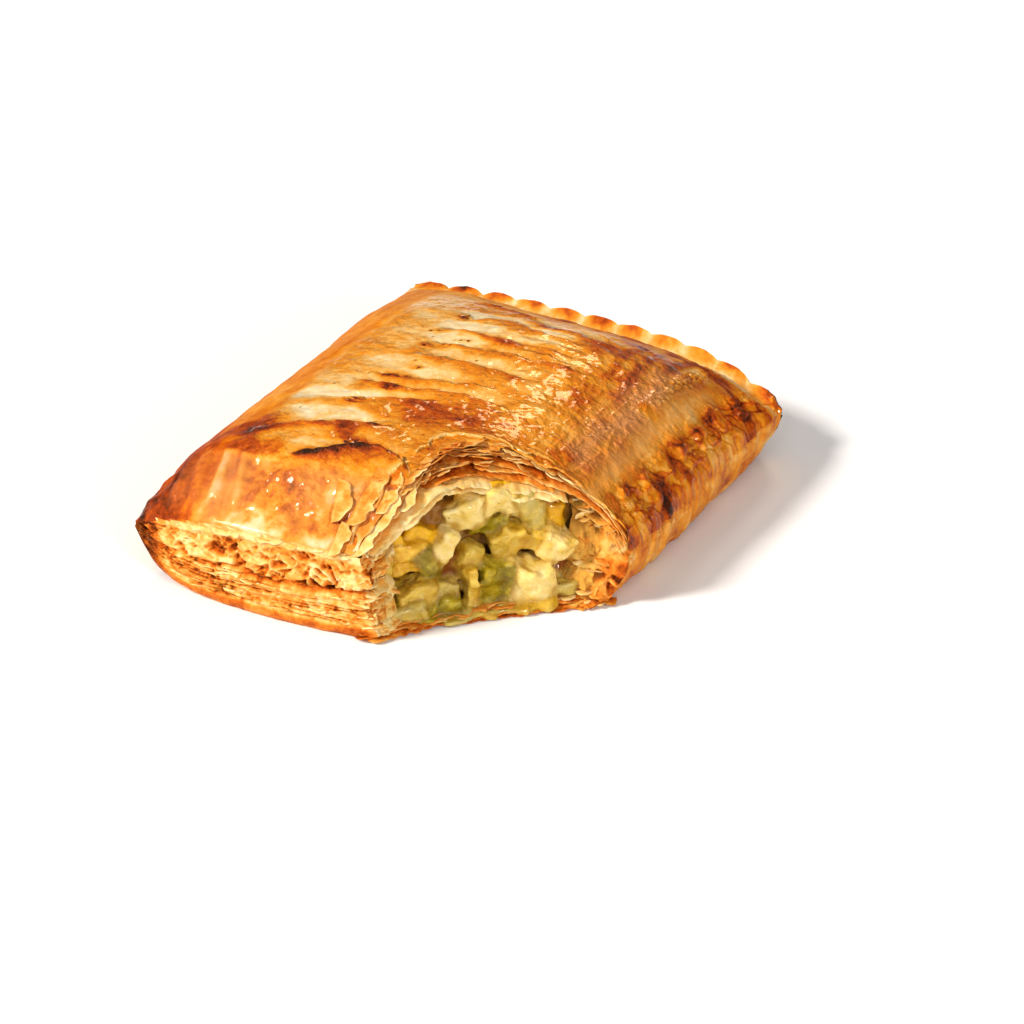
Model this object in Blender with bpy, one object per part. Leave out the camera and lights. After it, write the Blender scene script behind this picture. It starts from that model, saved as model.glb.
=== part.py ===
"""A baked puff-pastry pasty with one corner torn off, in metres, +Z up.

One sheet of dough is folded over the filling. The fold is the left side (-X). The right side (+X)
is pressed shut with a finger, and the front (-Y) and back (+Y) ends are thick cut edges. The front
right corner is gone, so the filling shows there. The origin is on the ground under the middle.
"""

import bpy
import numpy as np

MM = 0.001

# Driving sizes, in millimetres
WIDTH = 106.0           # fold to pressed side
LENGTH = 122.0          # front end to back end
CROWN_HEIGHT = 36.5     # middle of the top
TOP_WALL = 3.8          # pastry over the filling
BASE_WALL = 3.0         # pastry under the filling
GAP = 0.4               # air between filling and pastry

# Corner tips of the seam as (x, y, z): they stand clear of the ground like a pillow's ears
TIPS = {
    "front_left": (-52.5, -61.0, 13.5),
    "front_right": (53.0, -53.0, 13.0),
    "back_right": (53.3, 62.5, 13.0),
    "back_left": (-49.5, 62.5, 21.0),
}

# How far each side bows outwards between its tips, and how far that bow leans to one end
BOWS = {"front": (6.0, -0.55), "back": (2.2, 0.3), "left": (-0.5, 0.0), "right": (1.0, 0.0)}

# Height of the rim's upper and lower edge half way along each side, and how square its rise is
RIM_TOP = {"front": (22.0, 3), "back": (23.2, 3), "left": (17.0, 3), "right": (14.5, 4)}
RIM_FOOT = {"front": (2.0, 9), "back": (3.0, 9), "left": (14.0, 4), "right": (10.5, 6)}
TIP_THICKNESS = 1.5

# Each side's shoulder: where it starts inside the rim, its width, and the power of its curve
TOP_SHOULDERS = {
    "left": (0.0, 24.0, 2.0),
    "right": (0.0, 38.0, 1.75),
    "front": (0.0, 20.0, 1.6),
    "back": (4.0, 36.0, 1.7),
}

# How far the flat base lies inside each side, and how much further at the corners
FOOT_INSETS = {"left": 10.0, "right": 6.5, "front": 2.0, "back": 4.0}
CORNER_INSET = 7.0
UNDERSIDE_POWER = 1.5
BELLY = 0.9             # the thick edges swell outwards half way down

# Back end: a rope of pressed scallops with a groove inside it. Right side: a row of finger dents
SCALLOPS = 11
SCALLOP_DEPTH = 1.6
SCALLOP_RISE = 1.0
ROPE_WIDTH = 5.0
GROOVE_DEPTH = 1.0
DENTS = 13
DENT_DEPTH = 1.4
DENT_FROM_RIM = 4.5
DENT_RADIUS = 2.6

# Slits cut across the top before baking, which opened into low terraces
SLIT_ROWS = (-46.0, -36.0, -26.0, -16.0, -6.5, 4.0, 13.5, 21.5, 29.5, 38.0, 46.5)
SLIT_START, SLIT_END = -33.0, 24.0
TERRACE_HEIGHT = 1.1

# The tear runs straight across the front right corner, between these two points on the ground
TEAR_FROM = np.array([15.8, -56.3])
TEAR_TO = np.array([49.2, -22.2])
TEAR_HALF_WIDTH = 30.0
BASE_SETBACK = 2.0      # how far the base is torn back at the middle
LIP_SETBACK = 7.0       # how much further the top lip is torn back
LIP_HEIGHT = 30.0
RAGGED = 0.8
FILLING_SETBACK = 3.0
DICE_PITCH = 8.5        # spacing of the diced vegetables in the torn face of the filling
DICE_BULGE = 3.2

# Thickness of the pressed pastry between the filling and each side
SIDE_WALLS = {"left": 5.5, "right": 6.5, "front": 7.0, "back": 10.0}
FILLING_ROUNDING = 13.0
SEAM_HEIGHT = 8.0       # where the filling is widest

# Mesh density
TOP_COLUMNS, TOP_ROWS = 45, 43
FILLING_COLUMNS, FILLING_ROWS = 20, 22
BAND_RINGS = 3
UNDERSIDE_RINGS = (0.25, 1.0)
TEAR_COLUMNS, TEAR_LEVELS = 46, 25

PASTRY_COLOUR = (0.62, 0.27, 0.06)
FILLING_COLOUR = (0.66, 0.58, 0.24)


def clear_scene():
    for obj in list(bpy.data.objects):
        bpy.data.objects.remove(obj, do_unlink=True)


def smooth(t):
    """Runs from 0 to 1 with level ends."""
    t = np.clip(t, 0.0, 1.0)
    return t * t * (3.0 - 2.0 * t)


def between_tips(a, b, axis):
    """Bilinear blend of the four tips, for a and b from -1 to 1."""
    u, v = (a + 1) / 2, (b + 1) / 2
    return (
        (1 - u) * (1 - v) * TIPS["front_left"][axis]
        + u * (1 - v) * TIPS["front_right"][axis]
        + u * v * TIPS["back_right"][axis]
        + (1 - u) * v * TIPS["back_left"][axis]
    )


def side_line(side, start, end, t):
    """A side between two tips: a straight line plus a parabola that bows it outwards."""
    axis = 1 if side in ("front", "back") else 0
    outward = 1 if side in ("back", "right") else -1
    bow, lean = BOWS[side]
    line = [TIPS[start][k] + (TIPS[end][k] - TIPS[start][k]) * (t + 1) / 2 for k in (0, 1)]
    line[axis] = line[axis] + outward * bow * (1 - t**2) * (1 + lean * t)
    return line


def plan(a, b):
    """Plan position for a (fold to pressed side) and b (front to back): a Coons patch of the four sides."""
    u, v = (a + 1) / 2, (b + 1) / 2
    front = side_line("front", "front_left", "front_right", a)
    back = side_line("back", "back_left", "back_right", a)
    left = side_line("left", "front_left", "back_left", b)
    right = side_line("right", "front_right", "back_right", b)
    return [
        (1 - v) * front[k] + v * back[k] + (1 - u) * left[k] + u * right[k] - between_tips(a, b, k)
        for k in (0, 1)
    ]


def side_weights(a, b):
    """How near (a, b) is to each side, 1 on it and falling off quickly."""
    return {
        "front": np.clip(-b, 0, 1) ** 8,
        "back": np.clip(b, 0, 1) ** 8,
        "left": np.clip(-a, 0, 1) ** 8,
        "right": np.clip(a, 0, 1) ** 8,
    }


def rim_height(a, b, heights, tip_offset):
    """The tips' height, raised or lowered to each side's own height along its middle."""
    tip = between_tips(a, b, 2) + tip_offset
    height = tip.copy()
    for side, weight in side_weights(a, b).items():
        middle, squareness = heights[side]
        along = a if side in ("front", "back") else b
        height += weight * (1 - np.abs(along) ** squareness) * (middle - tip)
    return height


def from_sides(a, b):
    """Distance in millimetres from each side."""
    return {
        "left": (a + 1) / 2 * WIDTH,
        "right": (1 - a) / 2 * WIDTH,
        "front": (b + 1) / 2 * LENGTH,
        "back": (1 - b) / 2 * LENGTH,
    }


def shoulder(distance, width, power):
    """A superellipse quarter: 0 on the side, 1 from width inwards."""
    t = np.clip(distance / width, 0, 1)
    return (1 - (1 - t) ** power) ** (1 / power)


def terraces(x, y):
    """The opened slits: behind each slit the dough dips, and in front of it a low ridge stands up."""
    rows = np.array(SLIT_ROWS)
    index = np.clip(np.searchsorted(rows, y), 1, len(rows) - 1)
    ahead = (rows[index] - y) / (rows[index] - rows[index - 1])
    ridge = smooth(ahead / 0.25) * (1 - ahead)
    window = smooth((x - SLIT_START) / 10) * smooth((SLIT_END - x) / 22)
    inside = (y > rows[0] - 4) & (y < rows[-1])
    return TERRACE_HEIGHT * ridge * window * inside


def dents(a, b):
    """Round finger marks in a row just above the pressed seam."""
    reach = from_sides(a, b)["right"]
    phase = (b + 1) / 2 * DENTS
    along = np.abs(phase - np.floor(phase) - 0.5) * LENGTH / DENTS
    radius2 = along**2 + (reach - DENT_FROM_RIM) ** 2
    return -DENT_DEPTH * np.exp(-radius2 / DENT_RADIUS**2)


def rope(a, b):
    """The back end's scallops: how far the edge is pushed in between them, and how they rise and fall."""
    roundness = np.abs(np.sin(np.pi * (a + 1) / 2 * SCALLOPS)) ** 0.7
    reach = from_sides(a, b)["back"]
    near = smooth(1 - reach / ROPE_WIDTH)
    groove = GROOVE_DEPTH * np.exp(-(((reach - ROPE_WIDTH - 1) / 2) ** 2)) * (1 - a**8)
    return SCALLOP_DEPTH * (1 - roundness) * near, SCALLOP_RISE * (roundness - 0.5) * near - groove


def plain_crust(a, b):
    """The upper crust before it is marked: rim height at the sides, over the shoulders to a low crown."""
    x, y = plan(a, b)
    rim = rim_height(a, b, RIM_TOP, 0.0)
    rise = np.ones_like(a)
    for side, reach in from_sides(a, b).items():
        start, width, power = TOP_SHOULDERS[side]
        rise = rise * shoulder(reach - start, width, power)
    crown = (3 * (1 - a**2) * (1 - b**2) - 2.5 * np.clip(-a, 0, 1) ** 2) * rise
    return x, y, rim + (CROWN_HEIGHT - 2.5 - rim) * rise + crown


def top_surface(a, b):
    """Points of the upper crust with its slits, dents and scallops."""
    x, y, z = plain_crust(a, b)
    pushed_in, rise = rope(a, b)
    return np.stack([x, y - pushed_in, z + terraces(x, y) + dents(a, b) + rise], axis=-1)


def boundary(columns, rows):
    """(a, b) once round the rim, anticlockwise from the front left tip."""
    a, b = np.linspace(-1, 1, columns), np.linspace(-1, 1, rows)
    return (
        np.concatenate([a, np.ones(rows - 2), a[::-1], -np.ones(rows - 2)]),
        np.concatenate([-np.ones(columns), b[1:-1], np.ones(columns), b[::-1][1:-1]]),
    )


def rim_rings(columns, rows):
    """The thick edge: rings from the rim's upper edge down to its foot, then in to the flat base."""
    a, b = boundary(columns, rows)
    upper = top_surface(a, b)
    foot_z = np.minimum(rim_height(a, b, RIM_FOOT, -TIP_THICKNESS), upper[:, 2] - 0.8)
    weights = side_weights(a, b)
    total = sum(weights.values())
    inset = sum(weights[side] * FOOT_INSETS[side] for side in weights) / total
    inset += CORNER_INSET * np.minimum(np.abs(a), np.abs(b)) ** 8
    rings = []
    for k in range(1, BAND_RINGS + 1):
        share = k / BAND_RINGS
        belly = BELLY * np.sin(np.pi * share) * (upper[:, 2] - foot_z) / 20
        rings.append(inwards(upper, -belly, upper[:, 2] + (foot_z - upper[:, 2]) * share))
    for share in UNDERSIDE_RINGS:
        rings.append(inwards(upper, inset * share, foot_z * (1 - shoulder(share, 1.0, UNDERSIDE_POWER))))
    return rings


def inwards(points, distance, z):
    """Ring points moved towards the middle by distance, at height z."""
    toward = -points[:, :2] / np.array([WIDTH / 2, LENGTH / 2])
    pull = toward * np.abs(toward) ** 3
    pull = pull / np.linalg.norm(pull, axis=1, keepdims=True)
    return np.column_stack([points[:, :2] + pull * distance[:, None], z])


def closed_mesh(name, top, rings):
    """A top grid, rings hanging from its border, and one flat face that closes the last ring."""
    columns, rows = top.shape[:2]
    index = np.arange(columns * rows).reshape(columns, rows)
    loop = np.concatenate([index[:, 0], index[-1, 1:-1], index[::-1, -1], index[0, ::-1][1:-1]])
    faces = [
        (int(index[i, j]), int(index[i + 1, j]), int(index[i + 1, j + 1]), int(index[i, j + 1]))
        for i in range(columns - 1)
        for j in range(rows - 1)
    ]
    points = [top.reshape(-1, 3)]
    count, start = len(loop), columns * rows
    upper = loop
    for ring in rings:
        lower = np.arange(start, start + count)
        points.append(ring)
        for k in range(count):
            n = (k + 1) % count
            faces.append((int(upper[k]), int(lower[k]), int(lower[n]), int(upper[n])))
        upper, start = lower, start + count
    faces.append(tuple(int(k) for k in upper[::-1]))
    mesh = bpy.data.meshes.new(name)
    mesh.from_pydata((np.concatenate(points) * MM).tolist(), [], faces)
    mesh.update()
    return mesh


def inner_surface(a, b, gap):
    """The filling's top: the crust's surface less its thickness, rounded down at the filling's own sides."""
    low_a = -1 + 2 * (SIDE_WALLS["left"] + gap) / WIDTH
    high_a = 1 - 2 * (SIDE_WALLS["right"] + gap) / WIDTH
    low_b = -1 + 2 * (SIDE_WALLS["front"] + gap) / LENGTH
    high_b = 1 - 2 * (SIDE_WALLS["back"] + gap) / LENGTH
    outer_a = low_a + (high_a - low_a) * (a + 1) / 2
    outer_b = low_b + (high_b - low_b) * (b + 1) / 2
    x, y, crust = plain_crust(outer_a, outer_b)
    rise = np.ones_like(a)
    for reach in from_sides(a, b).values():
        rise = rise * shoulder(reach, FILLING_ROUNDING, 2.0)
    ceiling = crust - TOP_WALL - gap
    return np.stack([x, y, SEAM_HEIGHT + (ceiling - SEAM_HEIGHT) * rise], axis=-1)


def filling_mesh(name, gap):
    """The filled space, closed. A larger gap gives the smaller filling that sits in the cavity."""
    a, b = np.meshgrid(np.linspace(-1, 1, FILLING_COLUMNS), np.linspace(-1, 1, FILLING_ROWS), indexing="ij")
    top = inner_surface(a, b, gap)
    rim_a, rim_b = boundary(FILLING_COLUMNS, FILLING_ROWS)
    rim = inner_surface(rim_a, rim_b, gap)
    floor = np.full(len(rim), BASE_WALL + gap)
    return closed_mesh(name, top, [inwards(rim, np.full(len(rim), 2.0), floor)])


def waves(s, z, seed, count, longest, shortest):
    """A sum of sine waves over the torn face, the same ones each time."""
    random = np.random.default_rng(seed)
    total = np.zeros_like(s)
    for length in np.geomspace(longest, shortest, count):
        angle, phase = random.uniform(0, 2 * np.pi, 2)
        k = 2 * np.pi / length
        total += np.sin(k * (np.cos(angle) * s + np.sin(angle) * z) + phase) * length / longest
    return total


def ragged(s, z):
    """The broken edge of the layers."""
    return RAGGED * waves(s, z, 3, 5, 15.0, 5.5)


def diced(s, z):
    """Rounded lumps: near each centre of an uneven grid the face bulges outwards like a ball."""
    random = np.random.default_rng(8)
    nearest = np.full_like(s, DICE_PITCH)
    for row in range(-1, 6):
        for column in range(-5, 6):
            jitter_s, jitter_z = random.uniform(-0.4, 0.4, 2)
            centre_s = (column + 0.5 * (row % 2) + jitter_s) * DICE_PITCH
            centre_z = (row + 0.4 + jitter_z) * DICE_PITCH * 0.9
            nearest = np.minimum(nearest, np.hypot(s - centre_s, z - centre_z))
    return -DICE_BULGE * (1 - (nearest / (0.7 * DICE_PITCH)) ** 2)


def tear_cutter(name, setback, relief):
    """A closed block over the missing corner. Its inner face leans back towards the top and is uneven."""
    along = (TEAR_TO - TEAR_FROM) / np.linalg.norm(TEAR_TO - TEAR_FROM)
    inward = np.array([-along[1], along[0]])
    middle = (TEAR_FROM + TEAR_TO) / 2
    s, z = np.meshgrid(
        np.linspace(-48, 48, TEAR_COLUMNS), np.linspace(-6, 48, TEAR_LEVELS), indexing="ij"
    )
    hollow = np.clip(1 - (s / TEAR_HALF_WIDTH) ** 2, -0.6, 1)
    depth = setback + (BASE_SETBACK + LIP_SETBACK * smooth(z / LIP_HEIGHT)) * hollow + relief(s, z)
    line = middle + s[..., None] * along
    inner = np.concatenate([line + depth[..., None] * inward, z[..., None]], axis=-1)
    outer = np.concatenate([line - 45 * inward, z[..., None]], axis=-1)
    count = TEAR_COLUMNS * TEAR_LEVELS
    index = np.arange(count).reshape(TEAR_COLUMNS, TEAR_LEVELS)
    loop = np.concatenate([index[:, 0], index[-1, 1:-1], index[::-1, -1], index[0, ::-1][1:-1]])
    faces = []
    for i in range(TEAR_COLUMNS - 1):
        for j in range(TEAR_LEVELS - 1):
            quad = (index[i, j], index[i, j + 1], index[i + 1, j + 1], index[i + 1, j])
            faces.append(tuple(int(k) for k in quad))
            faces.append(tuple(int(k) + count for k in quad[::-1]))
    for k in range(len(loop)):
        n = (k + 1) % len(loop)
        faces.append((int(loop[k]), int(loop[n]), int(loop[n]) + count, int(loop[k]) + count))
    points = np.concatenate([inner.reshape(-1, 3), outer.reshape(-1, 3)]) * MM
    mesh = bpy.data.meshes.new(name)
    mesh.from_pydata(points.tolist(), [], faces)
    mesh.update()
    return add_object(name, mesh, cutter=True)


def add_object(name, mesh, cutter=False):
    obj = bpy.data.objects.new(name, mesh)
    bpy.context.scene.collection.objects.link(obj)
    if cutter:
        obj.hide_render = True
        obj.display_type = "WIRE"
    return obj


def cut(obj, cutter):
    modifier = obj.modifiers.new("cut_" + cutter.name, "BOOLEAN")
    modifier.operation = "DIFFERENCE"
    modifier.solver = "EXACT"
    modifier.object = cutter


def finish_with(obj, name, colour, roughness):
    material = bpy.data.materials.new(name)
    material.use_nodes = True
    shader = material.node_tree.nodes["Principled BSDF"]
    shader.inputs["Base Color"].default_value = (*colour, 1.0)
    shader.inputs["Roughness"].default_value = roughness
    obj.data.materials.append(material)


def centre_on_origin(objects, pastry):
    """Moves every mesh so that the pastry's plan is centred on the origin."""
    co = np.empty(len(pastry.data.vertices) * 3, np.float32)
    pastry.data.vertices.foreach_get("co", co)
    co = co.reshape(-1, 3)
    middle = (co.min(axis=0) + co.max(axis=0)) / 2
    for obj in objects:
        for vertex in obj.data.vertices:
            vertex.co.x -= float(middle[0])
            vertex.co.y -= float(middle[1])


def main():
    clear_scene()
    a, b = np.meshgrid(np.linspace(-1, 1, TOP_COLUMNS), np.linspace(-1, 1, TOP_ROWS), indexing="ij")
    crust = closed_mesh("pastry", top_surface(a, b), rim_rings(TOP_COLUMNS, TOP_ROWS))
    pastry = add_object("pastry", crust)
    filling = add_object("filling", filling_mesh("filling", GAP))
    cavity = add_object("cavity", filling_mesh("cavity", 0.0), cutter=True)
    torn_pastry = tear_cutter("torn_pastry", 0.0, ragged)
    torn_filling = tear_cutter("torn_filling", FILLING_SETBACK, diced)
    centre_on_origin([pastry, filling, cavity, torn_pastry, torn_filling], pastry)
    cut(pastry, cavity)
    cut(pastry, torn_pastry)
    cut(filling, torn_filling)
    finish_with(pastry, "baked_puff_pastry", PASTRY_COLOUR, 0.4)
    finish_with(filling, "vegetable_filling", FILLING_COLOUR, 0.45)


main()
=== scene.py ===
# %% [markdown]
# # A puff-pastry pasty with a torn corner
# One rolled sheet of dough is folded over a vegetable filling, pressed shut along the right side, brushed
# with egg and baked. The front right corner has been torn off, so the layers and the filling show.
# Everything is made in millimetres and turned into metres as it enters a mesh. +X is the pressed side,
# -X the fold, -Y the front cut end and +Y the scalloped back end.

# %% Load the frame
import math
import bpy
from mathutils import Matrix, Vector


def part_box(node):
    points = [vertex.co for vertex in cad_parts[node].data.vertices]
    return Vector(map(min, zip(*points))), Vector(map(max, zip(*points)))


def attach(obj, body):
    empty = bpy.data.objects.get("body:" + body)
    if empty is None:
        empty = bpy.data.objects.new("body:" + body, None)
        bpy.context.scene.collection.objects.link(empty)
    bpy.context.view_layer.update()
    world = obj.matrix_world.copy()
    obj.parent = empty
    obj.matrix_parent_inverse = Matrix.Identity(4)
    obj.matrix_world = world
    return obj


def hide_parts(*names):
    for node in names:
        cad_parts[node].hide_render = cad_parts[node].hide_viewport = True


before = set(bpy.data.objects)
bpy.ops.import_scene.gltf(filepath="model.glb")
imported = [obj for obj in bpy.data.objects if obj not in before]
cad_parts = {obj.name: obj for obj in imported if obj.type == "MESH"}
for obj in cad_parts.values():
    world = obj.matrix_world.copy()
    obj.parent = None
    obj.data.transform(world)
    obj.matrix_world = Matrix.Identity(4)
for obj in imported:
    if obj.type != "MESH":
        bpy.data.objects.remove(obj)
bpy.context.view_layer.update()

from types import SimpleNamespace

import bpy
import numpy as np

pastry_low, pastry_high = (np.array(corner) * 1000 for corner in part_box("pastry"))
print("the pastry's box, mm:", pastry_low.round(1), pastry_high.round(1))

# %% [markdown]
# ## Tools
# Dough is uneven at every size, so most of what follows needs smooth random numbers. `noise` blends random
# numbers on a lattice, and `cells` measures the distance to scattered centres, which gives bubbles and
# pores. Both work on whole arrays of points at once.

# %% Random fields
def lattice(whole, seed):
    """A repeatable random number from -1 to 1 at each whole-number point: coordinates times primes, mixed."""
    n = whole[..., 0] * 374761393 + whole[..., 1] * 668265263 + whole[..., 2] * 1274126177
    n = (n + seed * 974711 * 31) & 0xFFFFFFFF
    n = ((n ^ (n >> 13)) * 1274126177) & 0xFFFFFFFF
    n = ((n ^ (n >> 15)) * 668265263) & 0xFFFFFFFF
    return ((n ^ (n >> 16)) & 0xFFFFFF) / 0x7FFFFF - 1.0


def noise(points, size, seed):
    """Smooth random values from -1 to 1: lattice numbers `size` apart, blended with a quintic fade."""
    p = np.asarray(points, float) / size + 100.5
    base = np.floor(p).astype(np.int64)
    f = p - base
    f = f**3 * (f * (f * 6 - 15) + 10)
    total = np.zeros(p.shape[:-1])
    for corner in np.ndindex(2, 2, 2):
        step = np.array(corner)
        total += np.prod(np.where(step, f, 1 - f), axis=-1) * lattice(base + step, seed)
    return total


def fractal(points, size, octaves, seed):
    """Noise plus finer noise: each octave is turned a little, half as large and half as high."""
    turn = np.array([[0.80, 0.60, 0.0], [-0.48, 0.64, 0.60], [0.36, -0.48, 0.80]])
    p, total, weight = np.asarray(points, float), 0.0, 1.0
    for octave in range(octaves):
        total = total + weight * noise(p, size * 0.5**octave, seed + octave)
        p, weight = p @ turn, weight * 0.5
    return total


def cells(points, size, seed):
    """
    Distances in the x-y plane to the two nearest of centres scattered one to a square, in square sizes, and
    the nearest one's own number.
    """
    p = np.asarray(points, float) / size + 50.5
    base = np.floor(p).astype(np.int64)
    near, after, own = np.full(p.shape[:-1], 9.0), np.full(p.shape[:-1], 9.0), np.zeros(p.shape[:-1])
    for corner in np.ndindex(3, 3):
        cell = base + [corner[0] - 1, corner[1] - 1, 0]
        jitter = np.stack([lattice(cell, seed + k) for k in (1, 2)], axis=-1)
        gap = np.linalg.norm((p - cell - 0.5)[..., :2] - 0.45 * jitter, axis=-1)
        closer = gap < near
        after = np.where(closer, near, np.minimum(after, gap))
        own = np.where(closer, lattice(cell, seed), own)
        near = np.where(closer, gap, near)
    return near, after, own


def smooth(t):
    """0 to 1 with level ends: 3t^2 - 2t^3, held outside."""
    t = np.clip(t, 0.0, 1.0)
    return t * t * (3.0 - 2.0 * t)


def bump(t):
    """A bell: 1 at zero, falling as e to the minus t squared."""
    return np.exp(-np.minimum(t * t, 50.0))


def flat3(x, y, z=0.0):
    """Points from three arrays or numbers, stretched to one shape."""
    return np.stack(np.broadcast_arrays(x, y, z), axis=-1).astype(float)


def unit(vectors):
    """Vectors scaled to length 1."""
    return vectors / np.maximum(np.linalg.norm(vectors, axis=-1, keepdims=True), 1e-9)

# %% [markdown]
# ## Colours and materials
# Baked dough isn't one colour: it runs from raw cream through gold and amber to scorched black, by how hot
# each spot got. So the shape functions also work out a number from 0 to 1 for how far each point is
# baked, which the mesh carries as an attribute, and the material turns it into colour with a ramp. The same
# number also carries painted shade in pores, slits, creases and under leaves, and painted highlights on
# flecks, flute crests and thin edges.

# %% Colour and node helpers
def linear(code):
    """An sRGB hex colour such as "E0983A" as the linear values that shaders use."""
    s = np.array([int(code[k : k + 2], 16) / 255 for k in (0, 2, 4)])
    return (*np.where(s <= 0.04045, s / 12.92, ((s + 0.055) / 1.055) ** 2.4), 1.0)


def add(tree, kind, settings=None, **links):
    """Adds a node. Settings are its properties; links give its inputs a value or a socket."""
    node = tree.nodes.new(kind)
    for key, value in (settings or {}).items():
        setattr(node, key, value)
    for key, value in links.items():
        name = key.replace("_", " ")
        socket = node.inputs[int(key[1:])] if key[0] == "i" and key[1:].isdigit() else node.inputs[name]
        if isinstance(value, bpy.types.NodeSocket):
            tree.links.new(value, socket)
        else:
            socket.default_value = value
    return node


def ramp(tree, factor, stops):
    """A colour ramp through (position, hex) stops."""
    node = add(tree, "ShaderNodeValToRGB", Fac=factor)
    points = node.color_ramp.elements
    while len(points) < len(stops):
        points.new(0.5)
    for point, (position, code) in zip(points, stops):
        point.position, point.color = position, linear(code)
    return node.outputs["Color"]


def start_material(name, **settings):
    """A new material, its tree and its Principled shader with the given sockets set."""
    material = bpy.data.materials.new(name)
    material.use_nodes = True
    tree = material.node_tree
    shader = tree.nodes["Principled BSDF"]
    for key, value in settings.items():
        shader.inputs[key.replace("_", " ")].default_value = value
    return material, tree, shader

# %% [markdown]
# ## Meshes
# Every surface is a grid of points, so one function joins neighbours into quads and one makes the mesh.

# %% Mesh helpers
def quads(rows, columns, wrap_columns=False):
    """Corner numbers of the faces between neighbouring points of a grid, as one array of fours."""
    index = np.arange(rows * columns).reshape(rows, columns)
    if wrap_columns:
        index = np.hstack([index, index[:, :1]])
    corners = (index[:-1, :-1], index[1:, :-1], index[1:, 1:], index[:-1, 1:])
    return np.stack(corners, axis=-1).reshape(-1, 4)


def make_piece(name, points, faces, material, slot="pastry", normals=None, **fields):
    """One mesh object from points in millimetres, with a float attribute for each field."""
    mesh = bpy.data.meshes.new(name)
    points = np.asarray(points, float).reshape(-1, 3)
    mesh.vertices.add(len(points))
    mesh.vertices.foreach_set("co", (points / 1000).astype(np.float32).ravel())
    mesh.loops.add(faces.size)
    mesh.loops.foreach_set("vertex_index", faces.astype(np.int32).ravel())
    mesh.polygons.add(len(faces))
    mesh.polygons.foreach_set("loop_start", np.arange(0, faces.size, faces.shape[1], dtype=np.int32))
    mesh.update(calc_edges=True)
    mesh.shade_smooth()
    for key, values in fields.items():
        layer = mesh.attributes.new(key, "FLOAT", "POINT")
        layer.data.foreach_set("value", np.asarray(values, np.float32).ravel())
    if normals is not None:
        mesh.normals_split_custom_set_from_vertices(np.asarray(normals, float).reshape(-1, 3).tolist())
    mesh.materials.append(material)
    piece = bpy.data.objects.new(name, mesh)
    bpy.context.scene.collection.objects.link(piece)
    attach(piece, "root")
    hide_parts(slot)
    mesh.calc_loop_triangles()
    print(f"{name}: {len(mesh.loop_triangles)} triangles")


def grid_normals(points):
    """Unit normals of a grid surface: the cross product of its two directions."""
    return unit(np.cross(np.gradient(points, axis=0), np.gradient(points, axis=1)))


def facing(faces, sign):
    """The same faces, turned over where the sign is negative."""
    return faces if sign > 0 else faces[:, ::-1]


def baked(bake_and_shade, glaze, dusty=0.0):
    """The three looks of a dough surface, as arrays of one shape."""
    return {"bake_and_shade": np.clip(bake_and_shade, 0, 1), "glaze": glaze + 0 * bake_and_shade, "dusty": dusty + 0 * bake_and_shade}

# %% [markdown]
# ## The loaf's shape
# Seen from above the pasty is a slightly crooked rectangle. Two numbers place any point on the crust: `a`
# runs from the fold, -1, to the pressed side, 1, and `b` from the front, -1, to the back, 1. The four
# tips, the bow of each side and the height of the rim fix the outline, and a product of four shoulders,
# one inside each side, lifts the middle to a low dome.

# %% Driving sizes, in millimetres
WIDTH, LENGTH, CROWN = 106.0, 122.0, 36.5
TIPS = {
    "front_left": (-53.4, -61.0, 13.5),
    "front_right": (52.1, -53.0, 13.0),
    "back_right": (52.4, 62.5, 13.0),
    "back_left": (-50.4, 62.5, 21.0),
}
BOWS = {"front": (6.0, -0.55), "back": (2.2, 0.3), "left": (-0.5, 0.0), "right": (1.0, 0.0)}
RIM_TOP = {"front": (22.0, 3), "back": (23.2, 3), "left": (17.0, 3), "right": (14.5, 4)}
RIM_FOOT = {"front": (2.0, 9), "back": (3.0, 9), "left": (14.0, 4), "right": (10.5, 6)}
TOP_SHOULDERS = {
    "left": (0.0, 24.0, 2.0),
    "right": (0.0, 38.0, 1.75),
    "front": (0.0, 20.0, 1.6),
    "back": (4.0, 36.0, 1.7),
}
FOOT_INSETS = {"left": 10.0, "right": 6.5, "front": 2.0, "back": 4.0}
CORNER_INSET = 7.0
TIP_THICKNESS = 1.5
SCALLOPS = 11
CLEARANCE = 0.06        # the sides stop this far above the tray

print("the loaf is", WIDTH, "mm wide and", LENGTH, "mm long, and its crown is", CROWN, "mm high")

# %% [markdown]
# Every place on the crust comes from these sizes: first in plan, then the rim's height, then the dome.

# %% The plain crust
def between_tips(a, b, axis):
    """Bilinear blend of the tips."""
    u, v = (a + 1) / 2, (b + 1) / 2
    front = (1 - u) * TIPS["front_left"][axis] + u * TIPS["front_right"][axis]
    back = (1 - u) * TIPS["back_left"][axis] + u * TIPS["back_right"][axis]
    return (1 - v) * front + v * back


def side_line(side, start, end, t):
    """A straight line between two tips plus a parabola that bows it outwards."""
    axis = 1 if side in ("front", "back") else 0
    outward = 1 if side in ("back", "right") else -1
    bow, lean = BOWS[side]
    line = [TIPS[start][k] + (TIPS[end][k] - TIPS[start][k]) * (t + 1) / 2 for k in (0, 1)]
    line[axis] = line[axis] + outward * bow * (1 - t**2) * (1 + lean * t)
    return line


def plan(a, b):
    """Coons patch of the four sides: x and y for a and b."""
    u, v = (a + 1) / 2, (b + 1) / 2
    front = side_line("front", "front_left", "front_right", a)
    back = side_line("back", "back_left", "back_right", a)
    left = side_line("left", "front_left", "back_left", b)
    right = side_line("right", "front_right", "back_right", b)
    return [
        (1 - v) * front[k] + v * back[k] + (1 - u) * left[k] + u * right[k] - between_tips(a, b, k)
        for k in (0, 1)
    ]


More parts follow.
